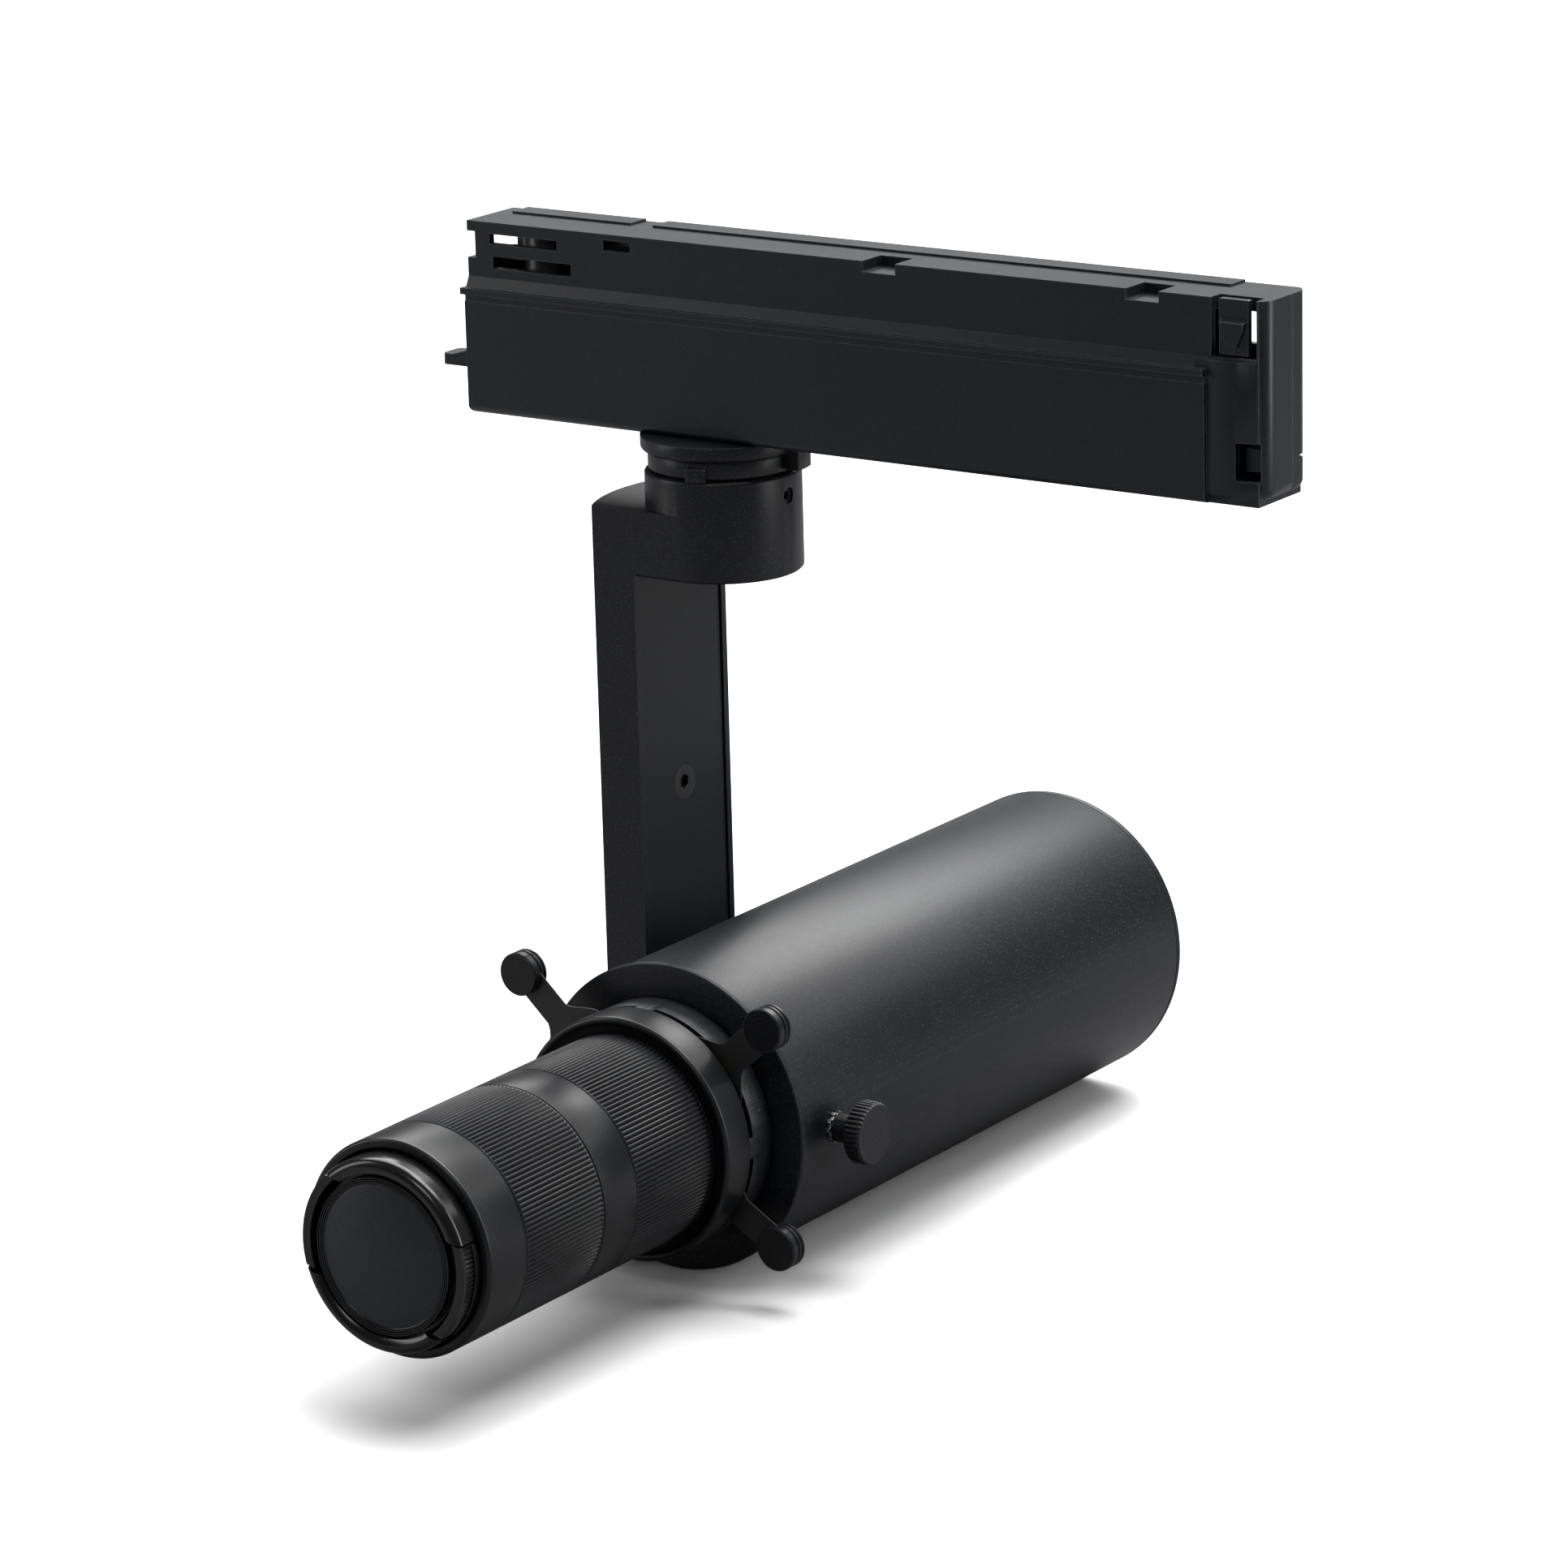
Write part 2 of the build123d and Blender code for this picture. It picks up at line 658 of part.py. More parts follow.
with BuildPart() as swivel_nut:
    with BuildSketch(Plane.XY.offset(up(shell_wall + face_gap))):
        RegularPolygon(8.0, 6)
        Circle(stem_r + seat_gap, mode=Mode.SUBTRACT)
    extrude(amount=nut_height)
keep(swivel_nut.part, "swivel_nut")

with BuildPart() as swivel_boss:
    with BuildSketch(Plane.XY.offset(down(boss_low))):
        Circle(arm_half)
        with Locations((arm_x / 2, 0)):
            Rectangle(arm_front, arm_width)
        with Locations((arm_x - arm_half, 0)):
            Rectangle(arm_width, arm_width, mode=Mode.SUBTRACT)
    extrude(amount=boss_low - arm_top)
    with BuildSketch(Plane.XY.offset(down(arm_top))):
        Circle(arm_half)
    extrude(amount=arm_top - groove_low)
    fillet(swivel_boss.edges().group_by(Axis.Z)[-1], 0.8)
    chamfer(swivel_boss.edges().group_by(Axis.Z)[0], 0.5)
    with Locations((0, 0, down(groove_low))):
        Cylinder(stem_r + seat_gap, 2 * (stem_low - groove_low), mode=Mode.SUBTRACT)
        Cylinder(lead_r + 1.0, 2 * (boss_low - groove_low - 3), mode=Mode.SUBTRACT)
    # lead passage into the arm
    with Locations(Plane(origin=(0, 0, down(boss_low - 6)), z_dir=(-1, 0, 0))):
        Cylinder(lead_r + 1.0, arm_front, align=from_base, mode=Mode.SUBTRACT)
    with Locations(Plane(origin=(stem_r, 0, down(set_screw_depth)), z_dir=(1, 0, 0))):
        Cylinder(set_screw_r + seat_gap, arm_half, align=from_base, mode=Mode.SUBTRACT)
keep(swivel_boss.part, "swivel_boss")


# ================= arm =================
def arm_outline():
    """Cross-section of the arm: flat face, straight sides, crowned back."""
    with BuildSketch() as outline:
        with BuildLine():
            side_x = arm_x - arm_side
            Polyline((side_x, -arm_half), (arm_x, -arm_half), (arm_x, arm_half), (side_x, arm_half))
            ThreePointArc((side_x, arm_half), (side_x - arm_crown, 0), (side_x, -arm_half))
        make_face()
    return outline.sketch


arm_length = tilt_depth - arm_top + arm_half
with BuildPart() as arm:
    section = arm_outline()
    extrude(section.moved(Location((0, 0, tilt_z - arm_half))), amount=arm_length)
    # rounded lower end, concentric with the tilt axis
    with BuildSketch(Plane(origin=(arm_x + 1, 0, tilt_z), x_dir=(0, 1, 0), z_dir=(1, 0, 0))) as foot:
        with Locations((0, -arm_half)):
            Rectangle(arm_width + 2, arm_width)
        Circle(arm_half, mode=Mode.SUBTRACT)
    extrude(foot.sketch, amount=-(arm_side + arm_crown + 4), mode=Mode.SUBTRACT)
    # tilt hub
    with Locations(Plane(origin=(arm_x, 0, tilt_z), z_dir=(1, 0, 0))):
        Cylinder(pad_r, pad_face - arm_x - face_gap, align=from_base)
    # cover seat and wiring channel
    cover_top = boss_low + 0.3
    cover_back = arm_x - cover_recess - cover_thick
    channel_back = arm_x - channel_depth
    slab(cover_back, arm_x + 0.01, rail - arm_half, arm_half - rail, down(cover_low), down(cover_top),
         mode=Mode.SUBTRACT)
    inner_half = arm_half - rail - cover_ledge
    slab(channel_back, arm_x + 0.01, -inner_half, inner_half, down(cover_low - 4), down(cover_top + 4),
         mode=Mode.SUBTRACT)
    # lead passage from the boss, and on to the tilt bolt
    slab(channel_back, arm_x + 0.01, -lead_r - 1, lead_r + 1, down(cover_top + 5), down(boss_low - 9.2),
         mode=Mode.SUBTRACT)
    # bolt bore and its head's recess
    with Locations(Plane(origin=(pad_face, 0, tilt_z), z_dir=(-1, 0, 0))):
        Cylinder(tilt_bolt_r + seat_gap, 40, align=from_base, mode=Mode.SUBTRACT)
    with Locations(Plane(origin=(arm_x - arm_side, 0, tilt_z), z_dir=(-1, 0, 0))):
        Cylinder(tilt_head_r + seat_gap, 20, align=from_base, mode=Mode.SUBTRACT)
    # seat of the cover screw
    slab(channel_back, cover_back, -4, 4, down(cover_screw_depth + 4), down(cover_screw_depth - 4))
    with Locations(Plane(origin=(arm_x, 0, down(cover_screw_depth)), z_dir=(-1, 0, 0))):
        Cylinder(cover_shank_r + seat_gap, 8, align=from_base, mode=Mode.SUBTRACT)
keep(arm.part, "arm")

with BuildPart() as arm_cover:
    side_gap = 0.25
    slab(cover_back, arm_x - cover_recess, rail - arm_half + side_gap, arm_half - rail - side_gap,
         down(cover_low - side_gap), down(cover_top + side_gap))
    with Locations(Plane(origin=(arm_x - cover_recess, 0, down(cover_screw_depth)), z_dir=(1, 0, 0))):
        Cylinder(cover_shank_r + seat_gap, 8, mode=Mode.SUBTRACT)
        Cone(cover_shank_r + seat_gap, cover_screw_r + seat_gap, cover_screw_cone,
             align=from_top, mode=Mode.SUBTRACT)
keep(arm_cover.part, "arm_cover")


def hex_screw(plane, r, length, across_flats, cone):
    """Screw with a hexagon socket, its mouth at the plane, in the part being built."""
    with Locations(plane):
        Cylinder(r - cone, length, align=from_top)
        if cone:
            Cone(r - cone, r, cone, align=from_top)
    with BuildSketch(plane) as socket:
        RegularPolygon(across_flats / sqrt(3), 6)
    extrude(socket.sketch, amount=-1.6, mode=Mode.SUBTRACT)


set_screw_mouth = arm_half - 0.8
with BuildPart() as yoke_screws:
    hex_screw(Plane(origin=(set_screw_mouth, 0, down(set_screw_depth)), z_dir=(1, 0, 0)), set_screw_r,
              set_screw_mouth - stem_r - seat_gap, 2.0, 0)
    cover_mouth = Plane(origin=(arm_x - cover_recess, 0, down(cover_screw_depth)), z_dir=(1, 0, 0))
    hex_screw(cover_mouth, cover_screw_r, 7.0, 3.0, cover_screw_cone)
keep(yoke_screws.part, "yoke_screws")

# supply lead, held inside the boss and the arm all the way
lead_x = arm_x - 6.4
lead_top = down(boss_low - 6)
with BuildPart() as supply_lead:
    with BuildLine():
        route = FilletPolyline(
            (-6.0, 0, lead_top),
            (lead_x, 0, lead_top),
            (lead_x, 0, down(boss_low + 7)),
            (lead_x, 7.0, down(54)),
            (lead_x, 7.0, down(cover_low - 8)),
            radius=4.0,
        )
    with BuildSketch(Plane(origin=route @ 0, z_dir=route % 0)):
        Circle(lead_r)
    sweep()
keep(supply_lead.part, "supply_lead")

# ================= tilt joint =================
pad_inner_face = lamp_x - body_bore_r + pad_inset - 2.2
with BuildPart() as tilt_bolt:
    with Locations(Plane(origin=(arm_x - arm_side, 0, tilt_z), z_dir=(1, 0, 0))):
        Cylinder(tilt_bolt_r, pad_inner_face + face_gap + tilt_nut_len + 1.0 - arm_x + arm_side,
                 align=from_base)
        Cylinder(tilt_head_r, tilt_head_len, align=from_top)
    with BuildSketch(Plane(origin=(arm_x - arm_side - tilt_head_len, 0, tilt_z), z_dir=(-1, 0, 0))):
        RegularPolygon(3.4, 6)
    extrude(amount=-2.2, mode=Mode.SUBTRACT)
keep(tilt_bolt.part, "tilt_bolt")

with BuildPart() as tilt_nut:
    with BuildSketch(Plane(origin=(pad_inner_face + face_gap, 0, tilt_z), x_dir=(0, 1, 0), z_dir=(1, 0, 0))):
        RegularPolygon(tilt_nut_r, 6)
        Circle(tilt_bolt_r + seat_gap, mode=Mode.SUBTRACT)
    extrude(amount=tilt_nut_len)
keep(tilt_nut.part, "tilt_nut")

# ================= lamp body =================
with BuildPart() as body_tube:
    with Locations(at(-body_back)):
        Cylinder(body_r, body_front + body_back, align=from_base)
    with Locations(Plane(origin=(pad_face, 0, tilt_z), z_dir=(1, 0, 0))):
        Cylinder(pad_r, pad_inner_face - pad_face, align=from_base)
    with Locations(at(-body_back)):
        Cylinder(body_bore_r, body_front + body_back, align=from_base, mode=Mode.SUBTRACT)
    with BuildSketch(Plane(origin=(pad_face, 0, tilt_z), x_dir=(0, 1, 0), z_dir=(1, 0, 0))):
        Circle(pad_r)
    extrude(amount=pad_inner_face - pad_face)
    with Locations(Plane(origin=(pad_face, 0, tilt_z), z_dir=(1, 0, 0))):
        Cylinder(tilt_bolt_r + turn_gap, 3 * body_wall + pad_inset, mode=Mode.SUBTRACT)
    with Locations(Plane(origin=(lamp_x + body_bore_r - 2, -thumb_s, tilt_z), z_dir=(1, 0, 0))):
        Cylinder(thumb_shaft_r + turn_gap, 3 * body_wall, align=from_base, mode=Mode.SUBTRACT)
keep(body_tube.part, "body_tube")

turned("front_flange", [
    (sleeve_r + turn_gap, body_front - flange_spigot),
    (body_bore_r - seat_gap, body_front - flange_spigot),
    (body_bore_r - seat_gap, body_front),
    (flange_r - 0.3, body_front),
    (flange_r, body_front + 0.3),
    (flange_r, flange_front - 0.5),
    (flange_r - 0.5, flange_front),
    (sleeve_r + turn_gap, flange_front),
])

cover_wall = 2.4
with BuildPart() as rear_cover:
    with Locations(at(-cover_end)):
        Cylinder(body_r, cover_end - body_back, align=from_base)
    fillet(rear_cover.edges().group_by(Axis.Y)[-1], rear_round)
    with Locations(at(-body_back)):
        Cylinder(body_bore_r - seat_gap, body_back - sink_back - 0.2, align=from_base)
        Cylinder(body_bore_r - cover_wall, body_back - sink_back - 0.2, align=from_base, mode=Mode.SUBTRACT)
    # shallow dished centre and the vent slots round it
    with Locations(at(-cover_end)):
        Cylinder(13.0, 0.8, align=from_base, mode=Mode.SUBTRACT)
    with BuildSketch(at(-cover_end)):
        with PolarLocations(body_bore_r - vent_inset, 24):
            SlotOverall(5.0, 1.6)
    extrude(amount=cover_end - body_back + 1, mode=Mode.SUBTRACT)
    with Locations(at(-cover_end)):
        with PolarLocations(body_bore_r - rear_screw_inset, 3, start_angle=30):
            Cylinder(rear_screw_r + seat_gap, 4 * cover_wall, mode=Mode.SUBTRACT)
            Cylinder(2 * rear_screw_r + seat_gap, 2.4, mode=Mode.SUBTRACT)
keep(rear_cover.part, "rear_cover")

with BuildPart() as rear_screws:
    with Locations(at(-cover_end + 1.2)):
        with PolarLocations(body_bore_r - rear_screw_inset, 3, start_angle=30):
            Cylinder(rear_screw_r, 11.0, align=from_base)
            Cylinder(2 * rear_screw_r, 1.1, align=from_top)
    with BuildSketch(at(-cover_end + 0.1)):
        with PolarLocations(body_bore_r - rear_screw_inset, 3, start_angle=30):
            RegularPolygon(1.4, 6)
    extrude(amount=0.9, mode=Mode.SUBTRACT)
keep(rear_screws.part, "rear_screws")

# ================= light engine =================
pitch = 2 * body_bore_r / fin_count
with BuildPart() as heat_sink:
    with BuildSketch(at(-sink_front - sink_base)):
        Circle(body_bore_r - seat_gap)
    extrude(amount=sink_base)
    with BuildSketch() as fin_rows:
        with GridLocations(pitch, 0, fin_count, 1):
            Rectangle(fin_thick, 3 * body_bore_r)
    with BuildSketch() as fin_round:
        Circle(body_bore_r - seat_gap)
    fins = fin_rows.sketch & fin_round.sketch
    extrude(at(-sink_back) * fins, amount=sink_back - sink_front - sink_base)
    with Locations(at(-sink_back)):
        with PolarLocations(body_bore_r - rear_screw_inset, 3, start_angle=30):
            Cylinder(3.2, sink_back - sink_front - sink_base, align=from_base)
            Cylinder(rear_screw_r + seat_gap, 12, align=from_base, mode=Mode.SUBTRACT)
keep(heat_sink.part, "heat_sink")

with BuildPart() as led_module:
    with BuildSketch(at(-sink_front)):
        RectangleRounded(led_board, led_board, 2)
    extrude(amount=led_board_thick)
    with BuildSketch(at(led_board_thick - sink_front)):
        Circle(led_r)
    extrude(amount=led_thick)
keep(led_module.part, "led_module")

turned("led_holder", [
    (led_r + 1.0, led_board_thick - sink_front),
    (holder_r, led_board_thick - sink_front),
    (holder_r, -holder_front - 1.0),
    (holder_r - 1.0, -holder_front),
    (reflector_throat_r - 1.0, -holder_front),
])

def bowl(r, deep):
    """Half outline of an ellipsoid bowl, from its throat to its mouth."""
    return [(r * cos(radians(a)), reflector_front - deep * sin(radians(a))) for a in (65, 52, 39, 26, 13, 0)]


with BuildPart() as reflector:
    depth = holder_front + reflector_front + 4.0
    with BuildSketch(lamp_section):
        with BuildLine():
            inside = Spline(*bowl(reflector_mouth_r, depth))
            outside = Spline(*bowl(reflector_mouth_r + reflector_wall, depth + reflector_wall))
            Line(inside @ 0, outside @ 0)
            Line(inside @ 1, outside @ 1)
        make_face()
    revolve(axis=lamp_axis)
    split(bisect_by=at(face_gap - holder_front), keep=Keep.TOP)
keep(reflector.part, "reflector")


def crown(r, height):
    """Rise of a lens face half way out to radius r."""
    ball = (r * r + height * height) / (2 * height)
    return height - ball + sqrt(ball * ball - r * r / 4)


def lens(name, r, s_back, edge, crown_back, crown_front):
    """A polished lens: a flat land round two crowned faces."""
    face_r = r - lens_land
    s_front = s_back + edge
    with BuildPart() as glass:
        with BuildSketch(lamp_section):
            with BuildLine():
                Line((0, s_back - crown_back), (0, s_front + crown_front))
                mid_front = s_front + crown(face_r, crown_front)
                mid_back = s_back - crown(face_r, crown_back)
                ThreePointArc((0, s_front + crown_front), (face_r / 2, mid_front), (face_r, s_front))
                Polyline((face_r, s_front), (r, s_front), (r, s_back), (face_r, s_back))
                ThreePointArc((face_r, s_back), (face_r / 2, mid_back), (0, s_back - crown_back))
            make_face()
        revolve(axis=lamp_axis)
    keep(glass.part, name)


lip_s = condenser_from + condenser_lip
turned("condenser_holder", [
    (condenser_r - 2.0, condenser_from),
    (body_bore_r - seat_gap, condenser_from),
    (body_bore_r - seat_gap, condenser_to),
    (condenser_r + seat_gap, condenser_to),
    (condenser_r + seat_gap, lip_s),
    (condenser_r - 2.0, lip_s),
])
lens("condenser_lens", condenser_r, lip_s, 4.0, 0.8, 6.0)

# ================= optics module =================
drum_back = flange_front + free_gap
pocket_s = gate_front - gate_slot - gate_plate_thick
with BuildPart() as gate_drum:
    with BuildSketch(lamp_section):
        with BuildLine():
            Polyline(
                (sleeve_bore_r, sleeve_back),
                (sleeve_r, sleeve_back),
                (sleeve_r, keeper_from),
                (keeper_r, keeper_from),
                (keeper_r, body_front - flange_spigot - free_gap),
                (sleeve_r, body_front - flange_spigot - free_gap),
                (sleeve_r, drum_back),
                (drum_r - 0.4, drum_back),
                (drum_r, drum_back + 0.4),
                (drum_r, gate_front),
                (gate_pocket_r, gate_front),
                (gate_pocket_r, pocket_s),
                (sleeve_bore_r, pocket_s),
                close=True,
            )
        make_face()
    revolve(axis=lamp_axis)
    for quarter in range(4):
        sector(at(gate_front - gate_slot), gate_pocket_r - 1, drum_r + 1, 45 + 90 * quarter, gate_slot_half,
               gate_slot + 1, mode=Mode.SUBTRACT)
keep(gate_drum.part, "gate_drum")

turned("gate_plate", [
    (gate_r, pocket_s),
    (gate_pocket_r - seat_gap, pocket_s),
    (gate_pocket_r - seat_gap, pocket_s + gate_plate_thick),
    (gate_r + 0.8, pocket_s + gate_plate_thick),
])

guide_places = [(shutter_open[i] + guide_inset, shutter_angles[i]) for i in range(4)]

with BuildPart() as front_collar:
    with BuildSketch(lamp_section):
        with BuildLine():
            Polyline(
                (web_bore_r, gate_front),
                (collar_r - 0.3, gate_front),
                (collar_r, gate_front + 0.3),
                (collar_r, collar_front - collar_round),
            )
            edge_mid = collar_round * (1 - 1 / sqrt(2))
            ThreePointArc(
                (collar_r, collar_front - collar_round),
                (collar_r - edge_mid, collar_front - edge_mid),
                (collar_r - collar_round, collar_front),
            )
            Polyline(
                (collar_r - collar_round, collar_front),
                (collar_dish_r, collar_front - collar_dish),
                (barrel_r + seat_gap, collar_front - collar_dish),
                (barrel_r + seat_gap, web_front),
                (web_bore_r, web_front),
                (web_bore_r, gate_front),
            )
        make_face()
    revolve(axis=lamp_axis)
    for reach, angle in guide_places:
        with Locations(at(gate_front)):
            with PolarLocations(reach, 1, start_angle=angle):
                Cylinder(guide_r + turn_gap, 4 * web_thick, mode=Mode.SUBTRACT)
        with Locations(at(web_front)):
            with PolarLocations(reach, 1, start_angle=angle):
                Cylinder(guide_head_r + free_gap, head_pocket, align=from_base, mode=Mode.SUBTRACT)
keep(front_collar.part, "front_collar")


# ================= shutters =================
def shutter(index):
    """One framing blade with its two-disc knob, drawn in the blade's own plane."""
    angle = radians(shutter_angles[index])
    s = shutter_planes[index]
    out = (cos(angle), 0, sin(angle))
    reach = shutter_open[index] + shutter_edge
    knob_at = (lamp_x + reach * out[0], -s, tilt_z + reach * out[2])
    # X runs from the knob towards the lamp axis
    blade_plane = Plane(origin=knob_at, x_dir=(-out[0], 0, -out[2]), z_dir=(0, -1, 0))
    flare_from = shutter_edge - shutter_flare[0]
    flare_to = shutter_edge - shutter_flare[1]
    with BuildPart() as blade:
        with BuildSketch(blade_plane):
            with BuildLine():
                for way in (1, -1):
                    Line((0, way * shutter_neck), (flare_from, way * shutter_neck))
                    Spline(
                        (flare_from, way * shutter_neck),
                        (flare_to, way * (shutter_half - 1.5)),
                        tangents=((1, 0), (0.9, way)),
                    )
                    Polyline(
                        (flare_to, way * (shutter_half - 1.5)),
                        (flare_to + 1.5, way * shutter_half),
                        (shutter_edge, way * shutter_half),
                        (shutter_edge, 0),
                    )
                Line((0, shutter_neck), (0, -shutter_neck))
            make_face()
            Circle(knob_r - 1.0)
            slot_in = shutter_edge - guide_inset
            with Locations(((2 * slot_in - shutter_travel) / 2, 0)):
                SlotCenterToCenter(shutter_travel + 0.4, 2 * (guide_r + slide_gap), mode=Mode.SUBTRACT)
        extrude(amount=blade_sheet)
    with BuildPart() as front_disc:
        with BuildSketch(blade_plane.offset(blade_sheet)):
            Circle(knob_r)
        extrude(amount=knob_front)
        chamfer(front_disc.edges().group_by(Axis.Y)[0], 0.35)
    with BuildPart() as back_disc:
        with BuildSketch(blade_plane):
            Circle(knob_r)
        extrude(amount=-knob_back)
        with BuildSketch(blade_plane.offset(-0.55 * knob_back)):
            Circle(knob_r + 1)
            Circle(knob_r - 0.4, mode=Mode.SUBTRACT)
        extrude(amount=-0.35, mode=Mode.SUBTRACT)
    keep(Compound(children=[blade.part, front_disc.part, back_disc.part]), "shutter_" + str(index + 1))


def shutter_guide(index):
    """Pin that a shutter slides along and turns about, riveted through the collar's web."""
    reach, angle = guide_places[index]
    with BuildPart() as guide:
        start = shutter_planes[index]
        with Locations(at(start)):
            with PolarLocations(reach, 1, start_angle=angle):
                Cylinder(guide_r, web_front + face_gap - start + 0.3, align=from_base)
        with Locations(at(web_front + face_gap)):
            with PolarLocations(reach, 1, start_angle=angle):
                Cylinder(guide_head_r, 0.8, align=from_base)
    keep(guide.part, "shutter_guide_" + str(index + 1))


for number in range(4):
    shutter(number)
    shutter_guide(number)


# ================= lens barrel, rings and cells =================
def cell_pins(s, r_from, r_to, r, length, mode):
    """Three radial pins, or the slots that they run in, in the part being built."""
    for angle in (90, 210, 330):
        way = (cos(radians(angle)), 0, sin(radians(angle)))
        start = (lamp_x + r_from * way[0], -s, tilt_z + r_from * way[2])
        with BuildSketch(Plane(origin=start, x_dir=(0, -1, 0), z_dir=way)) as shape:
            if length:
                SlotCenterToCenter(length, 2 * r)
            else:
                Circle(r)
        extrude(shape.sketch, amount=r_to - r_from, mode=mode)


cells = {"zoom": (zoom_cell, zoom_travel), "focus": (focus_cell, focus_travel)}
with BuildPart() as lens_barrel:
    with Locations(at(web_front)):
        Cylinder(barrel_r, barrel_front - web_front, align=from_base)
        Cylinder(barrel_bore_r, barrel_front - web_front, align=from_base, mode=Mode.SUBTRACT)
    for place, travel in cells.values():
        middle = (place[0] + place[1]) / 2 + (travel[0] + travel[1]) / 2
        cell_pins(middle, barrel_bore_r - 1, barrel_r + 1, pin_r + slide_gap, travel[1] - travel[0] + 0.4,
                  Mode.SUBTRACT)
    for reach, angle in guide_places:
        with Locations(at(web_front)):
            with PolarLocations(reach, 1, start_angle=angle):
                Cylinder(guide_head_r + free_gap, 2 * head_pocket, mode=Mode.SUBTRACT)
keep(lens_barrel.part, "lens_barrel")


def grip_ring(name, back, front, place, travel):
    """Hand ring on the barrel, relieved inside where the cell's pins travel."""
    low = (place[0] + place[1]) / 2 + travel[0] - pin_r - 1
    high = (place[0] + place[1]) / 2 + travel[1] + pin_r + 1
    turned(name, [
        (ring_bore_r, back),
        (lens_r - 0.4, back),
        (lens_r, back + 0.4),
        (lens_r, front - 0.4),
        (lens_r - 0.4, front),
        (ring_bore_r, front),
        (ring_bore_r, high),
        (ring_bore_r + relief_depth, high),
        (ring_bore_r + relief_depth, low),
        (ring_bore_r, low),
    ])


grip_ring("zoom_ring", zoom_back, zoom_front, *cells["zoom"])
grip_ring("focus_ring", focus_back, focus_front, *cells["focus"])

turned("mid_band", [
    (barrel_r + seat_gap, zoom_front + ring_gap),
    (lens_r - 0.2, zoom_front + ring_gap),
    (lens_r, zoom_front + ring_gap + 0.2),
    (lens_r, focus_back - ring_gap - 0.2),
    (lens_r - 0.2, focus_back - ring_gap),
    (barrel_r + seat_gap, focus_back - ring_gap),
])

nose_back = focus_front + ring_gap
turned("nose_band", [
    (barrel_r + seat_gap, nose_back),
    (lens_r, nose_back),
    (lens_r, nose_front - 0.6),
    (lens_r - 0.6, nose_front),
    (cap_r + cap_bore_gap, nose_front),
    (cap_r + cap_bore_gap, cap_back - 0.4),
    (barrel_r - 1.6, cap_back - 0.4),
    (barrel_r - 1.6, barrel_front),
    (barrel_r + seat_gap, barrel_front),
])


def lens_cell(name, place, lens_name):
    """Sliding cell with its three drive pins, and the lens that it holds."""
    back, front = place
    r_out = barrel_bore_r - slide_gap
    r_in = r_out - cell_wall
    with BuildPart() as cell:
        with BuildSketch(lamp_section):
            with BuildLine():
                Polyline(
                    (r_in, front),
                    (r_out, front),
                    (r_out, back),
                    (r_in - 1.4, back),
                    (r_in - 1.4, back + 1.6),
                    (r_in, back + 1.6),
                    close=True,
                )
            make_face()
        revolve(axis=lamp_axis)
        cell_pins((back + front) / 2, r_out - 0.6, barrel_r + relief_depth - 0.2, pin_r, 0, Mode.ADD)
    keep(cell.part, name)
    lens(lens_name, r_in - seat_gap, back + 1.6, lens_edge, 0.9, lens_crown)


lens_cell("zoom_cell", zoom_cell, "zoom_lens")
lens_cell("focus_cell", focus_cell, "focus_lens")

# ================= lens cap =================
def across(angle):
    """Plane at the pad's side: its X points out along the pad's own direction."""
    way = (cos(radians(angle)), 0, sin(radians(angle)))
    return Plane(origin=(lamp_x, 0, tilt_z), x_dir=way, z_dir=(0, -1, 0))


shoulder = 1.7
with BuildPart() as cap_rim:
    with BuildSketch(lamp_section):
        with BuildLine():
            Polyline(
                (0, cap_floor - cap_floor_thick),
                (cap_r - cap_wall, cap_floor - cap_floor_thick),
                (cap_r - cap_wall, cap_back),
                (cap_r, cap_back),
                (cap_r, cap_front - shoulder),
            )
            bend = shoulder * (1 - 1 / sqrt(2))
            ThreePointArc(
                (cap_r, cap_front - shoulder),
                (cap_r - bend, cap_front - bend),
                (cap_r - shoulder, cap_front),
            )
            Polyline(
                (cap_r - shoulder, cap_front),
                (cap_lip_r + 0.4, cap_front - 0.25),
                (cap_lip_r, cap_front - 0.7),
                (cap_lip_r, cap_floor),
                (0, cap_floor),
                (0, cap_floor - cap_floor_thick),
            )
        make_face()
    revolve(axis=lamp_axis)
    for angle in (pad_angle, pad_angle + 180):
        with BuildSketch(across(angle).offset(cap_back - 1)):
            Circle(2 * cap_r)
            Circle(cap_lip_r, mode=Mode.SUBTRACT)
            with Locations((1.5 * cap_r, 0)):
                Rectangle(2 * cap_r, 2 * (pad_half + pad_side_gap), mode=Mode.INTERSECT)
        extrude(amount=cap_front - cap_back + 2, mode=Mode.SUBTRACT)
keep(cap_rim.part, "cap_rim")

step = 0.45
turned("cap_disc", [
    (0, cap_floor),
    (dish_r, cap_floor),
    (dish_r, dish_front - 0.5),
    (dish_r - 0.3, dish_front),
    (dish_r - step, dish_front),
    (dish_r - step, dish_front - 0.4),
    (dish_r - 2 * step, dish_front - 0.4),
    (dish_r - 2 * step, dish_front),
    (dish_r - 3 * step, dish_front),
    (dish_r - 3 * step, dish_front - 0.4),
    (dish_r - 4 * step, dish_front - 0.4),
    (0, dish_front - 0.4),
])


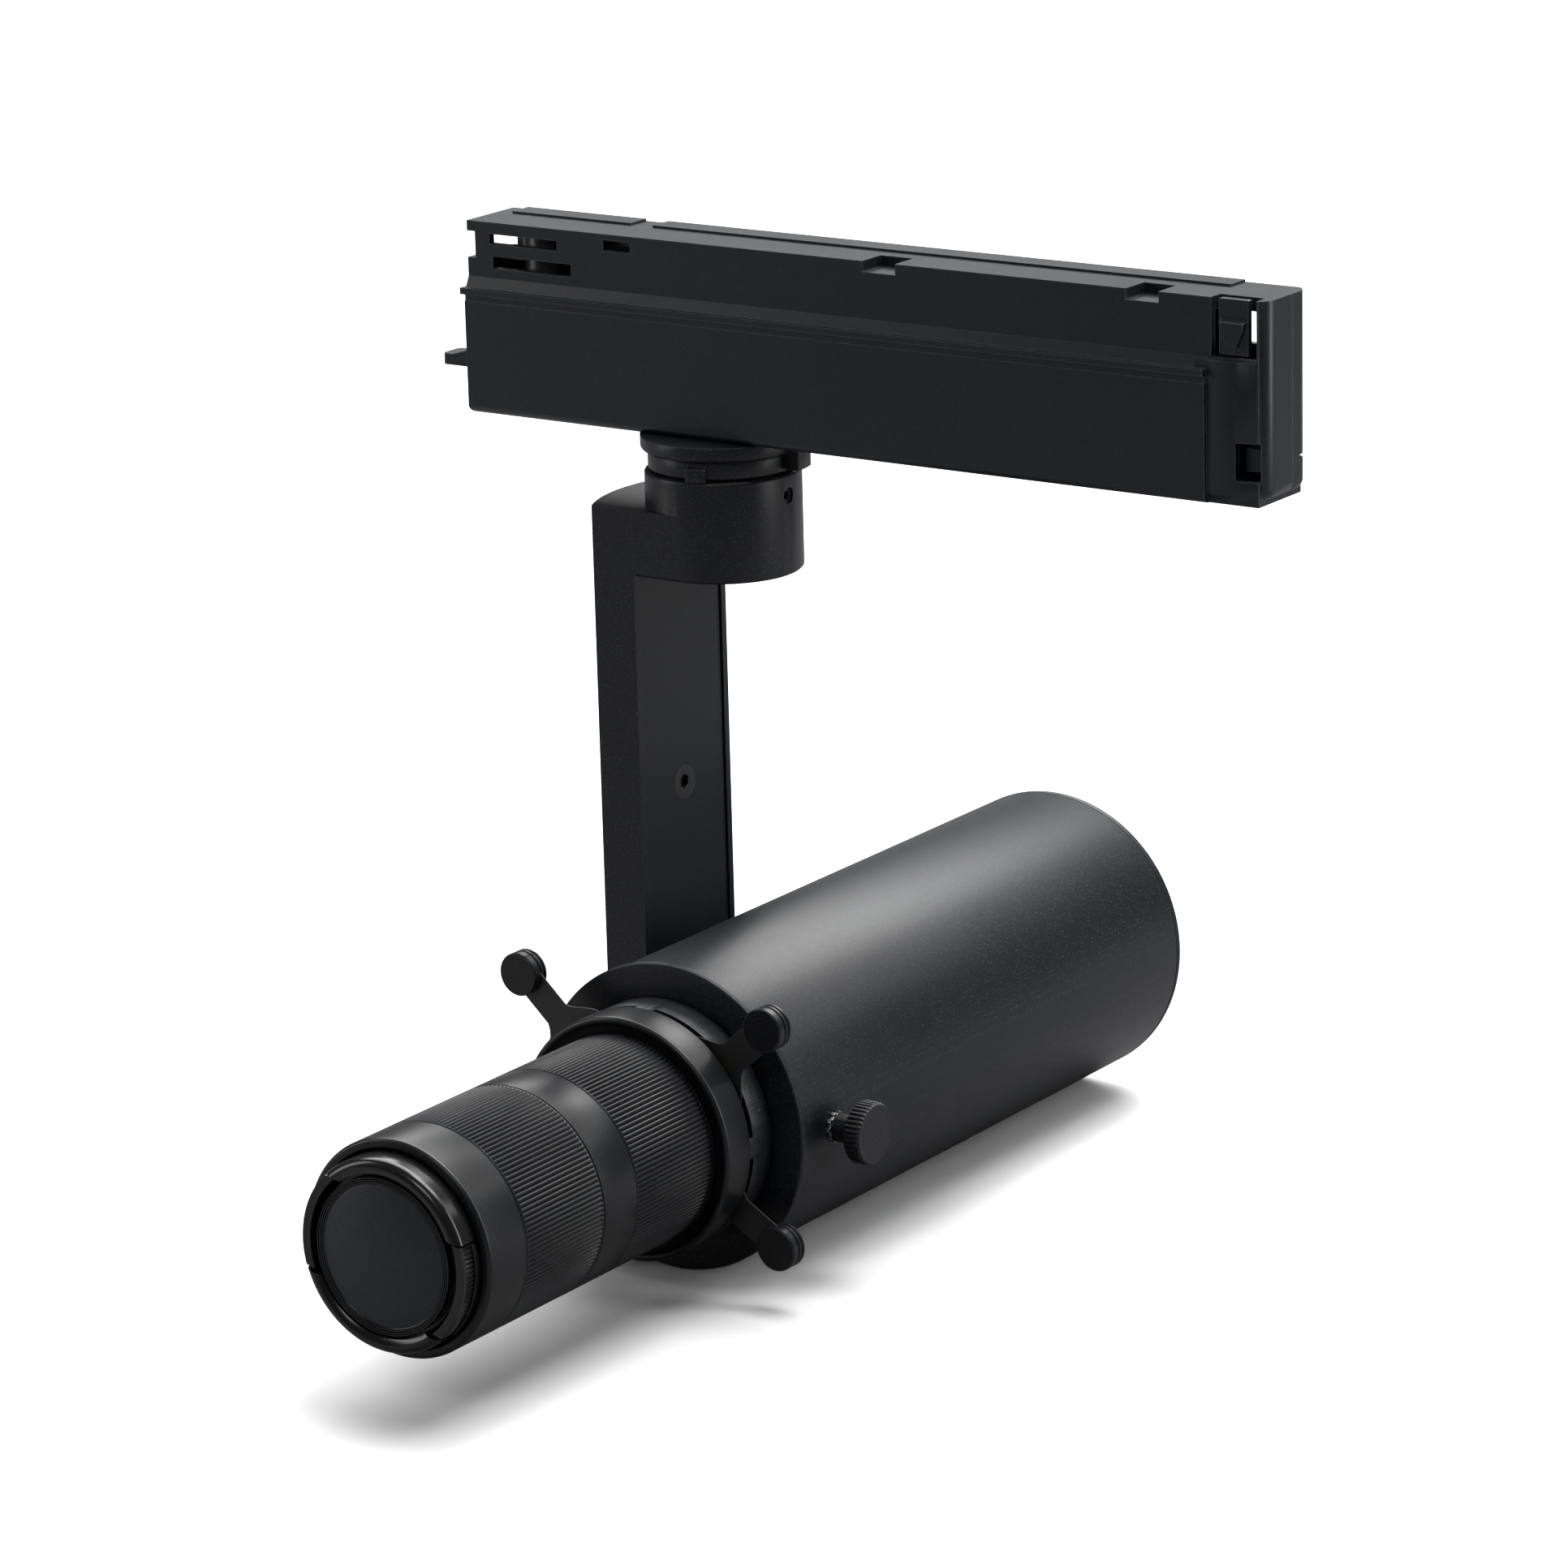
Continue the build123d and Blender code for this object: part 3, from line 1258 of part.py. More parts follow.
def cap_latch(name, angle):
    """Pinch pad of the lens cap, with the hook that springs out inside the nose band's mouth."""
    with BuildPart() as latch:
        with BuildSketch(across(angle).offset(pad_from)):
            Circle(pad_outer)
            Circle(pad_inner, mode=Mode.SUBTRACT)
            with Locations((1.5 * cap_r, 0)):
                Rectangle(2 * cap_r, 2 * pad_half, mode=Mode.INTERSECT)
        extrude(amount=pad_to - pad_from)
        with BuildSketch(across(angle).offset(cap_back + 0.2)):
            Circle(cap_r + cap_bore_gap - 0.2)
            Circle(pad_inner + 0.8, mode=Mode.SUBTRACT)
            with Locations((1.5 * cap_r, 0)):
                Rectangle(2 * cap_r, 2 * pad_half - 2, mode=Mode.INTERSECT)
        extrude(amount=pad_from - cap_back + 0.2)
    keep(latch.part, name)


cap_latch("cap_latch_right", pad_angle)
cap_latch("cap_latch_left", pad_angle + 180)

# ================= thumbscrew =================
body_side = lamp_x + body_r


def thumb_plane(x):
    """Plane across the thumbscrew's axis."""
    return Plane(origin=(x, -thumb_s, tilt_z), x_dir=(0, 1, 0), z_dir=(1, 0, 0))


with BuildPart() as lock_washer:
    with BuildSketch(thumb_plane(body_side + seat_gap)):
        Circle(washer_r)
        with PolarLocations(washer_r, 10):
            Rectangle(0.9, 0.9)
        Circle(thumb_shaft_r + 2 * turn_gap, mode=Mode.SUBTRACT)
    extrude(amount=washer_thick)
keep(lock_washer.part, "lock_washer")

collar_x = body_side + seat_gap + washer_thick + face_gap
with BuildPart() as thumbscrew:
    with BuildSketch(thumb_plane(lamp_x + sleeve_r + thumb_tip_gap)):
        Circle(thumb_shaft_r)
    extrude(amount=collar_x - lamp_x - sleeve_r - thumb_tip_gap + 1)
    with BuildSketch(thumb_plane(collar_x)):
        Circle(thumb_collar_r)
    extrude(amount=thumb_collar_len)
    with BuildSketch(thumb_plane(collar_x + thumb_collar_len)):
        Circle(thumb_r)
    extrude(amount=thumb_thick)
    chamfer(thumbscrew.edges().group_by(Axis.X)[-1], 0.4)
keep(thumbscrew.part, "thumbscrew")
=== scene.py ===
import json
import math
import bmesh
import bpy
from mathutils import Matrix, Vector


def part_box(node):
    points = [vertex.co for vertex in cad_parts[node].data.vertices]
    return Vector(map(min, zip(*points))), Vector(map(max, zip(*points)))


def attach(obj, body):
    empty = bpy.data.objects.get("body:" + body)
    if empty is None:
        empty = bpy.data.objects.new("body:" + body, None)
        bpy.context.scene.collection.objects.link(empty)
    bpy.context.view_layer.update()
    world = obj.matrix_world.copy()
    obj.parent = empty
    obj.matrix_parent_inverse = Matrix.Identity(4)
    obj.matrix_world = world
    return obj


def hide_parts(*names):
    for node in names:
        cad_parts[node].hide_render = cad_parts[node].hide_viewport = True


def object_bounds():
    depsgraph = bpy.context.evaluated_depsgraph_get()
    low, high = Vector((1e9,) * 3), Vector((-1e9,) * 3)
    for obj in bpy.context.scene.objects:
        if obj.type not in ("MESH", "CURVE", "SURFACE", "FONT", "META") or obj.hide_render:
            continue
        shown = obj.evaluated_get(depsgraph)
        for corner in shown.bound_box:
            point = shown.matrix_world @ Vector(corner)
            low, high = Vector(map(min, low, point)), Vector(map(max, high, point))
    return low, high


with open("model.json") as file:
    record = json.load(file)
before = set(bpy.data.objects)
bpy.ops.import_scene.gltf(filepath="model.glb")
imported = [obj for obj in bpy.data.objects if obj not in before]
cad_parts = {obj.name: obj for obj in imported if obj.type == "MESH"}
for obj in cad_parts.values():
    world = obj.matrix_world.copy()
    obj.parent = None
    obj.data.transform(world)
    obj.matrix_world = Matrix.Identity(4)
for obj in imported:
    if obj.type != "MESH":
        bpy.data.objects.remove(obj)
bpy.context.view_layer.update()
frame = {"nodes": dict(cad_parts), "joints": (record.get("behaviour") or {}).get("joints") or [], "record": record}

mm = 0.001
creaseAngle = math.radians(32)
jointOf = {j["name"]: j for j in frame["joints"]}
slotOf = {p["node"]: p["material_slot"] for p in frame["record"]["subparts"]}
print("frame loaded:", len(frame["nodes"]), "nodes")


# ---------- places, read from the frame ----------
flangeLow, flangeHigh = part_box("front_flange")
lampX = (flangeLow.x + flangeHigh.x) / 2
lampZ = (flangeLow.z + flangeHigh.z) / 2
# local lamp axes: x to the right, y up, z along the beam
lampFrame = Matrix(((1, 0, 0, lampX), (0, 0, -1, 0), (0, 1, 0, lampZ), (0, 0, 0, 1)))


def spanOf(node):
    # back and front of a node along the beam, in mm
    low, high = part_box(node)
    return -high.y / mm, -low.y / mm


def radiusOf(node):
    low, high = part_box(node)
    return (high.z - low.z) / 2 / mm


# ---------- mesh helpers ----------
def meshObject(name, verts, faces, matrix=None):
    mesh = bpy.data.meshes.new(name)
    mesh.from_pydata([Vector(v) * mm for v in verts], [], faces)
    work = bmesh.new()
    work.from_mesh(mesh)
    bmesh.ops.remove_doubles(work, verts=work.verts, dist=1e-7)
    bmesh.ops.dissolve_degenerate(work, edges=work.edges, dist=1e-8)
    bmesh.ops.recalc_face_normals(work, faces=work.faces)
    loose = [e for e in work.edges if not e.link_faces]
    bmesh.ops.delete(work, geom=loose, context="EDGES")
    work.to_mesh(mesh)
    work.free()
    if matrix is not None:
        mesh.transform(matrix)
    mesh.shade_smooth()
    mesh.set_sharp_from_angle(angle=creaseAngle)
    obj = bpy.data.objects.new(name, mesh)
    bpy.context.scene.collection.objects.link(obj)
    return obj


def eased(points, radius, steps=3):
    # every corner of a closed outline is rounded a little, so that its edge catches light
    out = []
    count = len(points)
    for i, here in enumerate(points):
        p = Vector(here)
        back = Vector(points[i - 1]) - p
        ahead = Vector(points[(i + 1) % count]) - p
        reach = min(radius, 0.42 * back.length, 0.42 * ahead.length)
        if p.x < 1e-6 or reach < 1e-4:
            out.append(tuple(p))
            continue
        a = p + back.normalized() * reach
        b = p + ahead.normalized() * reach
        for k in range(steps + 1):
            t = k / steps
            out.append(tuple(a * (1 - t) ** 2 + p * 2 * t * (1 - t) + b * t * t))
    return out


def arc(cx, cy, r, start, end, steps=8):
    turn = [math.radians(start + (end - start) * k / steps) for k in range(steps + 1)]
    return [(cx + r * math.cos(a), cy + r * math.sin(a)) for a in turn]


def lathe(name, outline, matrix=lampFrame, turns=224, ripple=None):
    verts = []
    faces = []
    count = len(outline)
    for i in range(turns):
        a = 2 * math.pi * i / turns
        for r, s in outline:
            rr = ripple(a, r, s) if ripple else r
            verts.append((rr * math.cos(a), rr * math.sin(a), s))
    for i in range(turns):
        for j in range(count):
            k = (j + 1) % count
            n = (i + 1) % turns
            faces.append((i * count + j, i * count + k, n * count + k, n * count + j))
    return meshObject(name, verts, faces, matrix)


def plate(name, outline, low, high, matrix):
    # a flat piece: closed outline in x and y, between two heights
    count = len(outline)
    verts = [(x, y, low) for x, y in outline] + [(x, y, high) for x, y in outline]
    faces = [tuple(range(count - 1, -1, -1)), tuple(range(count, 2 * count))]
    for j in range(count):
        k = (j + 1) % count
        faces.append((j, k, count + k, count + j))
    return meshObject(name, verts, faces, matrix)


def bevelled(obj, width, segments=2, angle=30.0):
    bevel = obj.modifiers.new("softEdge", "BEVEL")
    bevel.width = width * mm
    bevel.segments = segments
    bevel.limit_method = "ANGLE"
    bevel.angle_limit = math.radians(angle)
    bevel.harden_normals = True
    bevel.miter_outer = "MITER_ARC"
    return obj


def cutAway(obj, cutters):
    # takes the cutters out of the piece and keeps the result as its mesh
    for cutter in cutters:
        cut = obj.modifiers.new("cut", "BOOLEAN")
        cut.operation = "DIFFERENCE"
        cut.solver = "EXACT"
        cut.object = cutter
    bpy.context.view_layer.update()
    graph = bpy.context.evaluated_depsgraph_get()
    mesh = bpy.data.meshes.new_from_object(obj.evaluated_get(graph))
    obj.modifiers.clear()
    obj.data = mesh
    mesh.shade_smooth()
    mesh.set_sharp_from_angle(angle=creaseAngle)
    for cutter in cutters:
        bpy.data.objects.remove(cutter)
    return obj


def fit(obj, body, slot, material, *nodes):
    # material on, riding its body, standing for its CAD nodes
    obj.data.materials.clear()
    obj.data.materials.append(material)
    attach(obj, body)
    if nodes:
        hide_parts(*nodes)
    return obj


# ---------- shared effects ----------
def newGroup(name, inputs, outputs):
    group = bpy.data.node_groups.new(name, "ShaderNodeTree")
    for label, default in inputs:
        socket = group.interface.new_socket(label, in_out="INPUT", socket_type="NodeSocketFloat")
        socket.default_value = default
    for label in outputs:
        group.interface.new_socket(label, in_out="OUTPUT", socket_type="NodeSocketFloat")
    source = group.nodes.new("NodeGroupInput")
    sink = group.nodes.new("NodeGroupOutput")
    return group, source, sink


def mathNode(tree, operation, a, b=None, clamp=False):
    node = tree.nodes.new("ShaderNodeMath")
    node.operation = operation
    node.use_clamp = clamp
    for index, value in enumerate((a, b)):
        if value is None:
            continue
        if isinstance(value, (int, float)):
            node.inputs[index].default_value = value
        else:
            tree.links.new(value, node.inputs[index])
    return node.outputs[0]


def millimetres(tree):
    # object coordinates, counted in mm
    place = tree.nodes.new("ShaderNodeTexCoord")
    scale = tree.nodes.new("ShaderNodeVectorMath")
    scale.operation = "SCALE"
    scale.inputs["Scale"].default_value = 1000
    tree.links.new(place.outputs["Object"], scale.inputs[0])
    return scale.outputs[0]


def noiseNode(tree, vector, scale, detail=2.0, rough=0.5):
    node = tree.nodes.new("ShaderNodeTexNoise")
    node.inputs["Detail"].default_value = detail
    node.inputs["Roughness"].default_value = rough
    tree.links.new(vector, node.inputs["Vector"])
    if isinstance(scale, (int, float)):
        node.inputs["Scale"].default_value = scale
    else:
        tree.links.new(scale, node.inputs["Scale"])
    return node.outputs["Fac"]


def buildEdgeWear():
    # a mask along convex edges, broken up as handling breaks it
    group, source, sink = newGroup("edgeWear", (("Width", 0.4), ("Amount", 1.0)), ("Mask",))
    bevel = group.nodes.new("ShaderNodeBevel")
    bevel.samples = 4
    radius = mathNode(group, "MULTIPLY", source.outputs["Width"], mm)
    group.links.new(radius, bevel.inputs["Radius"])
    geometry = group.nodes.new("ShaderNodeNewGeometry")
    dot = group.nodes.new("ShaderNodeVectorMath")
    dot.operation = "DOT_PRODUCT"
    group.links.new(bevel.outputs["Normal"], dot.inputs[0])
    group.links.new(geometry.outputs["Normal"], dot.inputs[1])
    turned = mathNode(group, "SUBTRACT", 1.0, dot.outputs["Value"])
    spread = mathNode(group, "MULTIPLY", turned, 6.0, clamp=True)
    patches = noiseNode(group, millimetres(group), 0.35, 4.0, 0.6)
    broken = mathNode(group, "MULTIPLY", spread, patches)
    mask = mathNode(group, "MULTIPLY", broken, source.outputs["Amount"], clamp=True)
    group.links.new(mask, sink.inputs["Mask"])
    return group


def buildFineGrain():
    # powder or mould grain: a height, scattered bright specks and a slow cloudiness
    inputs = (("Size", 0.5), ("Speck Share", 0.1))
    group, source, sink = newGroup("fineGrain", inputs, ("Height", "Speck", "Cloud"))
    vector = millimetres(group)
    scale = mathNode(group, "DIVIDE", 1.0, source.outputs["Size"])
    grain = noiseNode(group, vector, scale, 2.0, 0.55)
    peel = noiseNode(group, vector, mathNode(group, "MULTIPLY", scale, 0.3), 1.0, 0.4)
    small, broad = mathNode(group, "MULTIPLY", grain, 0.6), mathNode(group, "MULTIPLY", peel, 0.4)
    height = mathNode(group, "ADD", small, broad)
    cells = group.nodes.new("ShaderNodeTexVoronoi")
    group.links.new(vector, cells.inputs["Vector"])
    group.links.new(mathNode(group, "MULTIPLY", scale, 1.3), cells.inputs["Scale"])
    split = group.nodes.new("ShaderNodeSeparateColor")
    group.links.new(cells.outputs["Color"], split.inputs["Color"])
    chosen = mathNode(group, "LESS_THAN", split.outputs[0], source.outputs["Speck Share"])
    near = mathNode(group, "LESS_THAN", cells.outputs["Distance"], 0.34)
    group.links.new(height, sink.inputs["Height"])
    group.links.new(mathNode(group, "MULTIPLY", chosen, near), sink.inputs["Speck"])
    group.links.new(noiseNode(group, vector, 0.045, 3.0, 0.5), sink.inputs["Cloud"])
    return group


def buildSettledDust():
    # thin dust on what faces up
    group, source, sink = newGroup("settledDust", (("Amount", 0.1),), ("Mask",))
    geometry = group.nodes.new("ShaderNodeNewGeometry")
    split = group.nodes.new("ShaderNodeSeparateXYZ")
    group.links.new(geometry.outputs["Normal"], split.inputs[0])
    facing = mathNode(group, "MULTIPLY", split.outputs["Z"], 1.0, clamp=True)
    vector = millimetres(group)
    fine = noiseNode(group, vector, 1.6, 3.0, 0.7)
    broad = noiseNode(group, vector, 0.05, 2.0, 0.5)
    amount = mathNode(group, "MULTIPLY", mathNode(group, "MULTIPLY", fine, broad), source.outputs["Amount"])
    group.links.new(mathNode(group, "MULTIPLY", amount, facing, clamp=True), sink.inputs["Mask"])
    return group


dustColour = (0.42, 0.41, 0.40)
edgeWear = buildEdgeWear()
fineGrain = buildFineGrain()
settledDust = buildSettledDust()


def placeGroup(tree, group, **values):
    node = tree.nodes.new("ShaderNodeGroup")
    node.node_tree = group
    for label, value in values.items():
        node.inputs[label.replace("_", " ")].default_value = value
    return node


def mixColour(tree, mask, below, above):
    node = tree.nodes.new("ShaderNodeMix")
    node.data_type = "RGBA"
    tree.links.new(mask, node.inputs["Factor"])
    for socket, value in ((node.inputs[6], below), (node.inputs[7], above)):
        if isinstance(value, tuple):
            socket.default_value = (*value, 1.0)
        else:
            tree.links.new(value, socket)
    return node.outputs[2]


def spread(tree, value, low, high):
    node = tree.nodes.new("ShaderNodeMapRange")
    tree.links.new(value, node.inputs["Value"])
    node.inputs["To Min"].default_value = low
    node.inputs["To Max"].default_value = high
    return node.outputs["Result"]


def coated(name, look):
    # a coated, moulded or anodised surface: grain, specks, worn edges and a little dust
    material = bpy.data.materials.new(name)
    material.use_nodes = True
    tree = material.node_tree
    shader = tree.nodes["Principled BSDF"]
    grain = placeGroup(tree, fineGrain, Size=look["grain"], Speck_Share=look.get("speckShare", 0.0))
    wear = placeGroup(tree, edgeWear, Width=look.get("wearWidth", 0.5), Amount=look.get("wear", 0.5))
    dust = placeGroup(tree, settledDust, Amount=look.get("dust", 0.08))
    base = mixColour(tree, grain.outputs["Cloud"], look["dark"], look["light"])
    specks = mathNode(tree, "MULTIPLY", grain.outputs["Speck"], look.get("speck", 0.0))
    flecked = mixColour(tree, specks, base, look["fleck"])
    worn = mixColour(tree, wear.outputs["Mask"], flecked, look["edge"])
    dusty = mixColour(tree, dust.outputs["Mask"], worn, dustColour)
    tree.links.new(dusty, shader.inputs["Base Color"])
    rough = spread(tree, grain.outputs["Height"], look["rough"] - 0.06, look["rough"] + 0.06)
    dulled = mathNode(tree, "MULTIPLY", dust.outputs["Mask"], 0.5)
    tree.links.new(mathNode(tree, "ADD", rough, dulled, clamp=True), shader.inputs["Roughness"])
    shader.inputs["Metallic"].default_value = look.get("metal", 0.0)
    shader.inputs["Specular IOR Level"].default_value = look.get("gloss", 0.5)
    bump = tree.nodes.new("ShaderNodeBump")
    bump.inputs["Strength"].default_value = look.get("bump", 0.3)
    bump.inputs["Distance"].default_value = look.get("depth", 0.02) * mm
    tree.links.new(grain.outputs["Height"], bump.inputs["Height"])
    tree.links.new(bump.outputs["Normal"], shader.inputs["Normal"])
    return material


def turnedMetal(name, look):
    # plain metal with the fine scratches of its making
    material = bpy.data.materials.new(name)
    material.use_nodes = True
    tree = material.node_tree
    shader = tree.nodes["Principled BSDF"]
    vector = millimetres(tree)
    lines = noiseNode(tree, vector, look["lines"], 4.0, 0.7)
    stains = noiseNode(tree, vector, 0.3, 2.0, 0.5)
    wear = placeGroup(tree, edgeWear, Width=0.3, Amount=look.get("wear", 0.3))
    base = mixColour(tree, stains, look["dark"], look["light"])
    tree.links.new(mixColour(tree, wear.outputs["Mask"], base, look["edge"]), shader.inputs["Base Color"])
    tree.links.new(spread(tree, lines, look["rough"] - 0.08, look["rough"] + 0.1), shader.inputs["Roughness"])
    shader.inputs["Metallic"].default_value = 1.0
    bump = tree.nodes.new("ShaderNodeBump")
    bump.inputs["Strength"].default_value = 0.15
    bump.inputs["Distance"].default_value = 0.01 * mm
    tree.links.new(lines, bump.inputs["Height"])
    tree.links.new(bump.outputs["Normal"], shader.inputs["Normal"])
    return material


def leatherGrain(name, look):
    # moulded leather pattern with short scuffs
    material = coated(name, look)
    tree = material.node_tree
    bump = next(n for n in tree.nodes if n.bl_idname == "ShaderNodeBump")
    vector = millimetres(tree)
    cells = tree.nodes.new("ShaderNodeTexVoronoi")
    cells.feature = "SMOOTH_F1"
    cells.inputs["Scale"].default_value = look["cell"]
    warp = tree.nodes.new("ShaderNodeVectorMath")
    warp.operation = "ADD"
    wander = tree.nodes.new("ShaderNodeTexNoise")
    wander.inputs["Scale"].default_value = 0.8
    tree.links.new(vector, wander.inputs["Vector"])
    tree.links.new(vector, warp.inputs[0])
    tree.links.new(wander.outputs["Color"], warp.inputs[1])
    tree.links.new(warp.outputs[0], cells.inputs["Vector"])
    grain = next(n for n in tree.nodes if n.bl_idname == "ShaderNodeGroup" and n.node_tree == fineGrain)
    hollow = mathNode(tree, "MULTIPLY", cells.outputs["Distance"], -1.0)
    fine = mathNode(tree, "MULTIPLY", grain.outputs["Height"], 0.5)
    height = mathNode(tree, "ADD", hollow, fine)
    tree.links.new(height, bump.inputs["Height"])
    return material


def clearGlass(name):
    material = bpy.data.materials.new(name)
    material.use_nodes = True
    shader = material.node_tree.nodes["Principled BSDF"]
    shader.inputs["Base Color"].default_value = (0.95, 0.97, 0.98, 1)
    shader.inputs["Roughness"].default_value = 0.02
    shader.inputs["IOR"].default_value = 1.52
    shader.inputs["Transmission Weight"].default_value = 1.0
    return material


finish = {
    "body_powder": coated("bodyPowder", {
        "dark": (0.0045, 0.0055, 0.0075), "light": (0.0075, 0.009, 0.0115),
        "fleck": (0.20, 0.22, 0.25), "edge": (0.05, 0.056, 0.066), "grain": 0.4,
        "speckShare": 0.16, "speck": 0.3, "rough": 0.38, "gloss": 0.42, "bump": 0.5,
        "depth": 0.05, "wear": 0.5, "wearWidth": 0.5, "dust": 0.035,
    }),
    "adapter_moulding": coated("adapterMoulding", {
        "dark": (0.007, 0.0088, 0.0115), "light": (0.0105, 0.0128, 0.0165),
        "fleck": (0.14, 0.15, 0.17), "edge": (0.16, 0.175, 0.20), "grain": 0.36,
        "speckShare": 0.10, "speck": 0.22, "rough": 0.34, "gloss": 0.5, "bump": 0.4,
        "depth": 0.04, "wear": 0.95, "wearWidth": 0.4, "dust": 0.06,
    }),
    "ring_black": coated("ringBlack", {
        "dark": (0.0042, 0.0048, 0.006), "light": (0.0062, 0.007, 0.0085),
        "fleck": (0.10, 0.11, 0.12), "edge": (0.055, 0.06, 0.068), "grain": 0.5,
        "speckShare": 0.05, "speck": 0.25, "rough": 0.33, "gloss": 0.42, "bump": 0.2,
        "depth": 0.02, "wear": 0.6, "wearWidth": 0.3, "dust": 0.03,
    }),
    "blade_sheet": coated("bladeSheet", {
        "dark": (0.016, 0.0145, 0.0135), "light": (0.024, 0.022, 0.020),
        "fleck": (0.1, 0.1, 0.1), "edge": (0.16, 0.15, 0.14), "grain": 0.3, "speckShare": 0.04,
        "speck": 0.2, "rough": 0.42, "gloss": 0.5, "bump": 0.2, "depth": 0.015, "wear": 0.7,
        "wearWidth": 0.2, "dust": 0.02,
    }),
    "cap_gloss": coated("capGloss", {
        "dark": (0.006, 0.006, 0.0068), "light": (0.008, 0.008, 0.009),
        "fleck": (0.2, 0.2, 0.2), "edge": (0.03, 0.03, 0.032), "grain": 0.8,
        "speckShare": 0.004, "speck": 0.5, "rough": 0.20, "gloss": 0.5, "bump": 0.05,
        "depth": 0.01, "wear": 0.2, "wearWidth": 0.3, "dust": 0.02,
    }),
    "cap_grain": leatherGrain("capGrain", {
        "dark": (0.009, 0.0108, 0.014), "light": (0.0125, 0.0148, 0.0185),
        "fleck": (0.16, 0.17, 0.19), "edge": (0.05, 0.05, 0.055), "grain": 0.3,
        "speckShare": 0.05, "speck": 0.35, "rough": 0.42, "gloss": 0.5, "bump": 0.55,
        "depth": 0.05, "wear": 0.3, "wearWidth": 0.3, "dust": 0.02, "cell": 1.5,
    }),
    "steel": turnedMetal("brightSteel", {
        "dark": (0.36, 0.36, 0.37), "light": (0.5, 0.5, 0.51), "edge": (0.7, 0.7, 0.7),
        "lines": 6.0, "rough": 0.3,
    }),
    "steel_dark": coated("darkSteel", {
        "dark": (0.010, 0.010, 0.011), "light": (0.016, 0.016, 0.017), "fleck": (0.1, 0.1, 0.1),
        "edge": (0.10, 0.10, 0.105), "grain": 0.2, "rough": 0.32, "gloss": 0.6, "bump": 0.1,
        "depth": 0.01, "wear": 0.8, "wearWidth": 0.2, "dust": 0.0,
    }),
    "contact_brass": turnedMetal("contactBrass", {
        "dark": (0.45, 0.31, 0.12), "light": (0.62, 0.44, 0.19), "edge": (0.8, 0.62, 0.3),
        "lines": 5.0, "rough": 0.32,
    }),
    "board": coated("solderMask", {
        "dark": (0.008, 0.06, 0.022), "light": (0.012, 0.085, 0.034), "fleck": (0.3, 0.3, 0.3),
        "edge": (0.25, 0.22, 0.1), "grain": 1.2, "rough": 0.3, "bump": 0.1, "wear": 0.3,
        "dust": 0.05,
    }),
    "winding": coated("windingTape", {
        "dark": (0.30, 0.19, 0.03), "light": (0.38, 0.25, 0.05), "fleck": (0.3, 0.3, 0.3),
        "edge": (0.45, 0.32, 0.1), "grain": 1.5, "rough": 0.4, "bump": 0.3, "wear": 0.3,
        "dust": 0.05,
    }),
    "can": coated("shrinkSleeve", {
        "dark": (0.012, 0.016, 0.05), "light": (0.018, 0.024, 0.07), "fleck": (0.3, 0.3, 0.3),
        "edge": (0.1, 0.1, 0.15), "grain": 1.0, "rough": 0.28, "bump": 0.1, "wear": 0.3,
        "dust": 0.05,
    }),
    "sink": turnedMetal("extrudedAluminium", {
        "dark": (0.42, 0.43, 0.45), "light": (0.55, 0.56, 0.58), "edge": (0.75, 0.75, 0.76),
        "lines": 3.0, "rough": 0.42,
    }),
    "led": coated("ledPhosphor", {
        "dark": (0.62, 0.46, 0.07), "light": (0.72, 0.55, 0.1), "fleck": (0.8, 0.8, 0.8),
        "edge": (0.8, 0.75, 0.6), "grain": 0.6, "rough": 0.45, "bump": 0.1, "wear": 0.2,
        "dust": 0.0,
    }),
    "mirror": turnedMetal("polishedBowl", {
        "dark": (0.82, 0.82, 0.84), "light": (0.88, 0.88, 0.9), "edge": (0.9, 0.9, 0.9),
        "lines": 0.5, "rough": 0.12,
    }),
    "lens": clearGlass("polishedGlass"),
    "lead": coated("leadJacket", {
        "dark": (0.012, 0.012, 0.012), "light": (0.018, 0.018, 0.018), "fleck": (0.1, 0.1, 0.1),
        "edge": (0.05, 0.05, 0.05), "grain": 0.8, "rough": 0.55, "bump": 0.2, "wear": 0.2,
        "dust": 0.03,
    }),
}
print("finishes made:", len(finish))


# ---------- lamp body ----------
def buildBodyTube():
    look = {
        "wall": 2.2, "ease": 0.35, "coverEdge": 2.5, "spigot": 4.7,
        "padRadius": 12.0, "padDepth": 4.5, "padBore": 4.1, "padEase": 0.4,
    }
    back = spanOf("rear_cover")[0] + look["coverEdge"]
    front = spanOf("front_flange")[0] + look["spigot"]
    outer = radiusOf("body_tube")
    inner = outer - look["wall"]
    outline = [(inner, back), (outer, back), (outer, front), (inner, front)]
    tube = lathe("bodyTube", eased(outline, look["ease"]), turns=288)
    fit(tube, "head", "body_powder", finish["body_powder"], "body_tube")
    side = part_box("body_tube")[0].x / mm
    facing = Matrix(((0, 0, 1, side * mm), (0, 1, 0, 0), (-1, 0, 0, lampZ), (0, 0, 0, 1)))
    bore, rim, deep = look["padBore"], look["padRadius"], look["padDepth"]
    pad = eased([(bore, 0), (rim, 0), (rim, deep), (bore, deep)], look["padEase"])
    fit(lathe("tiltPad", pad, facing, turns=96), "head", "body_powder", finish["body_powder"])


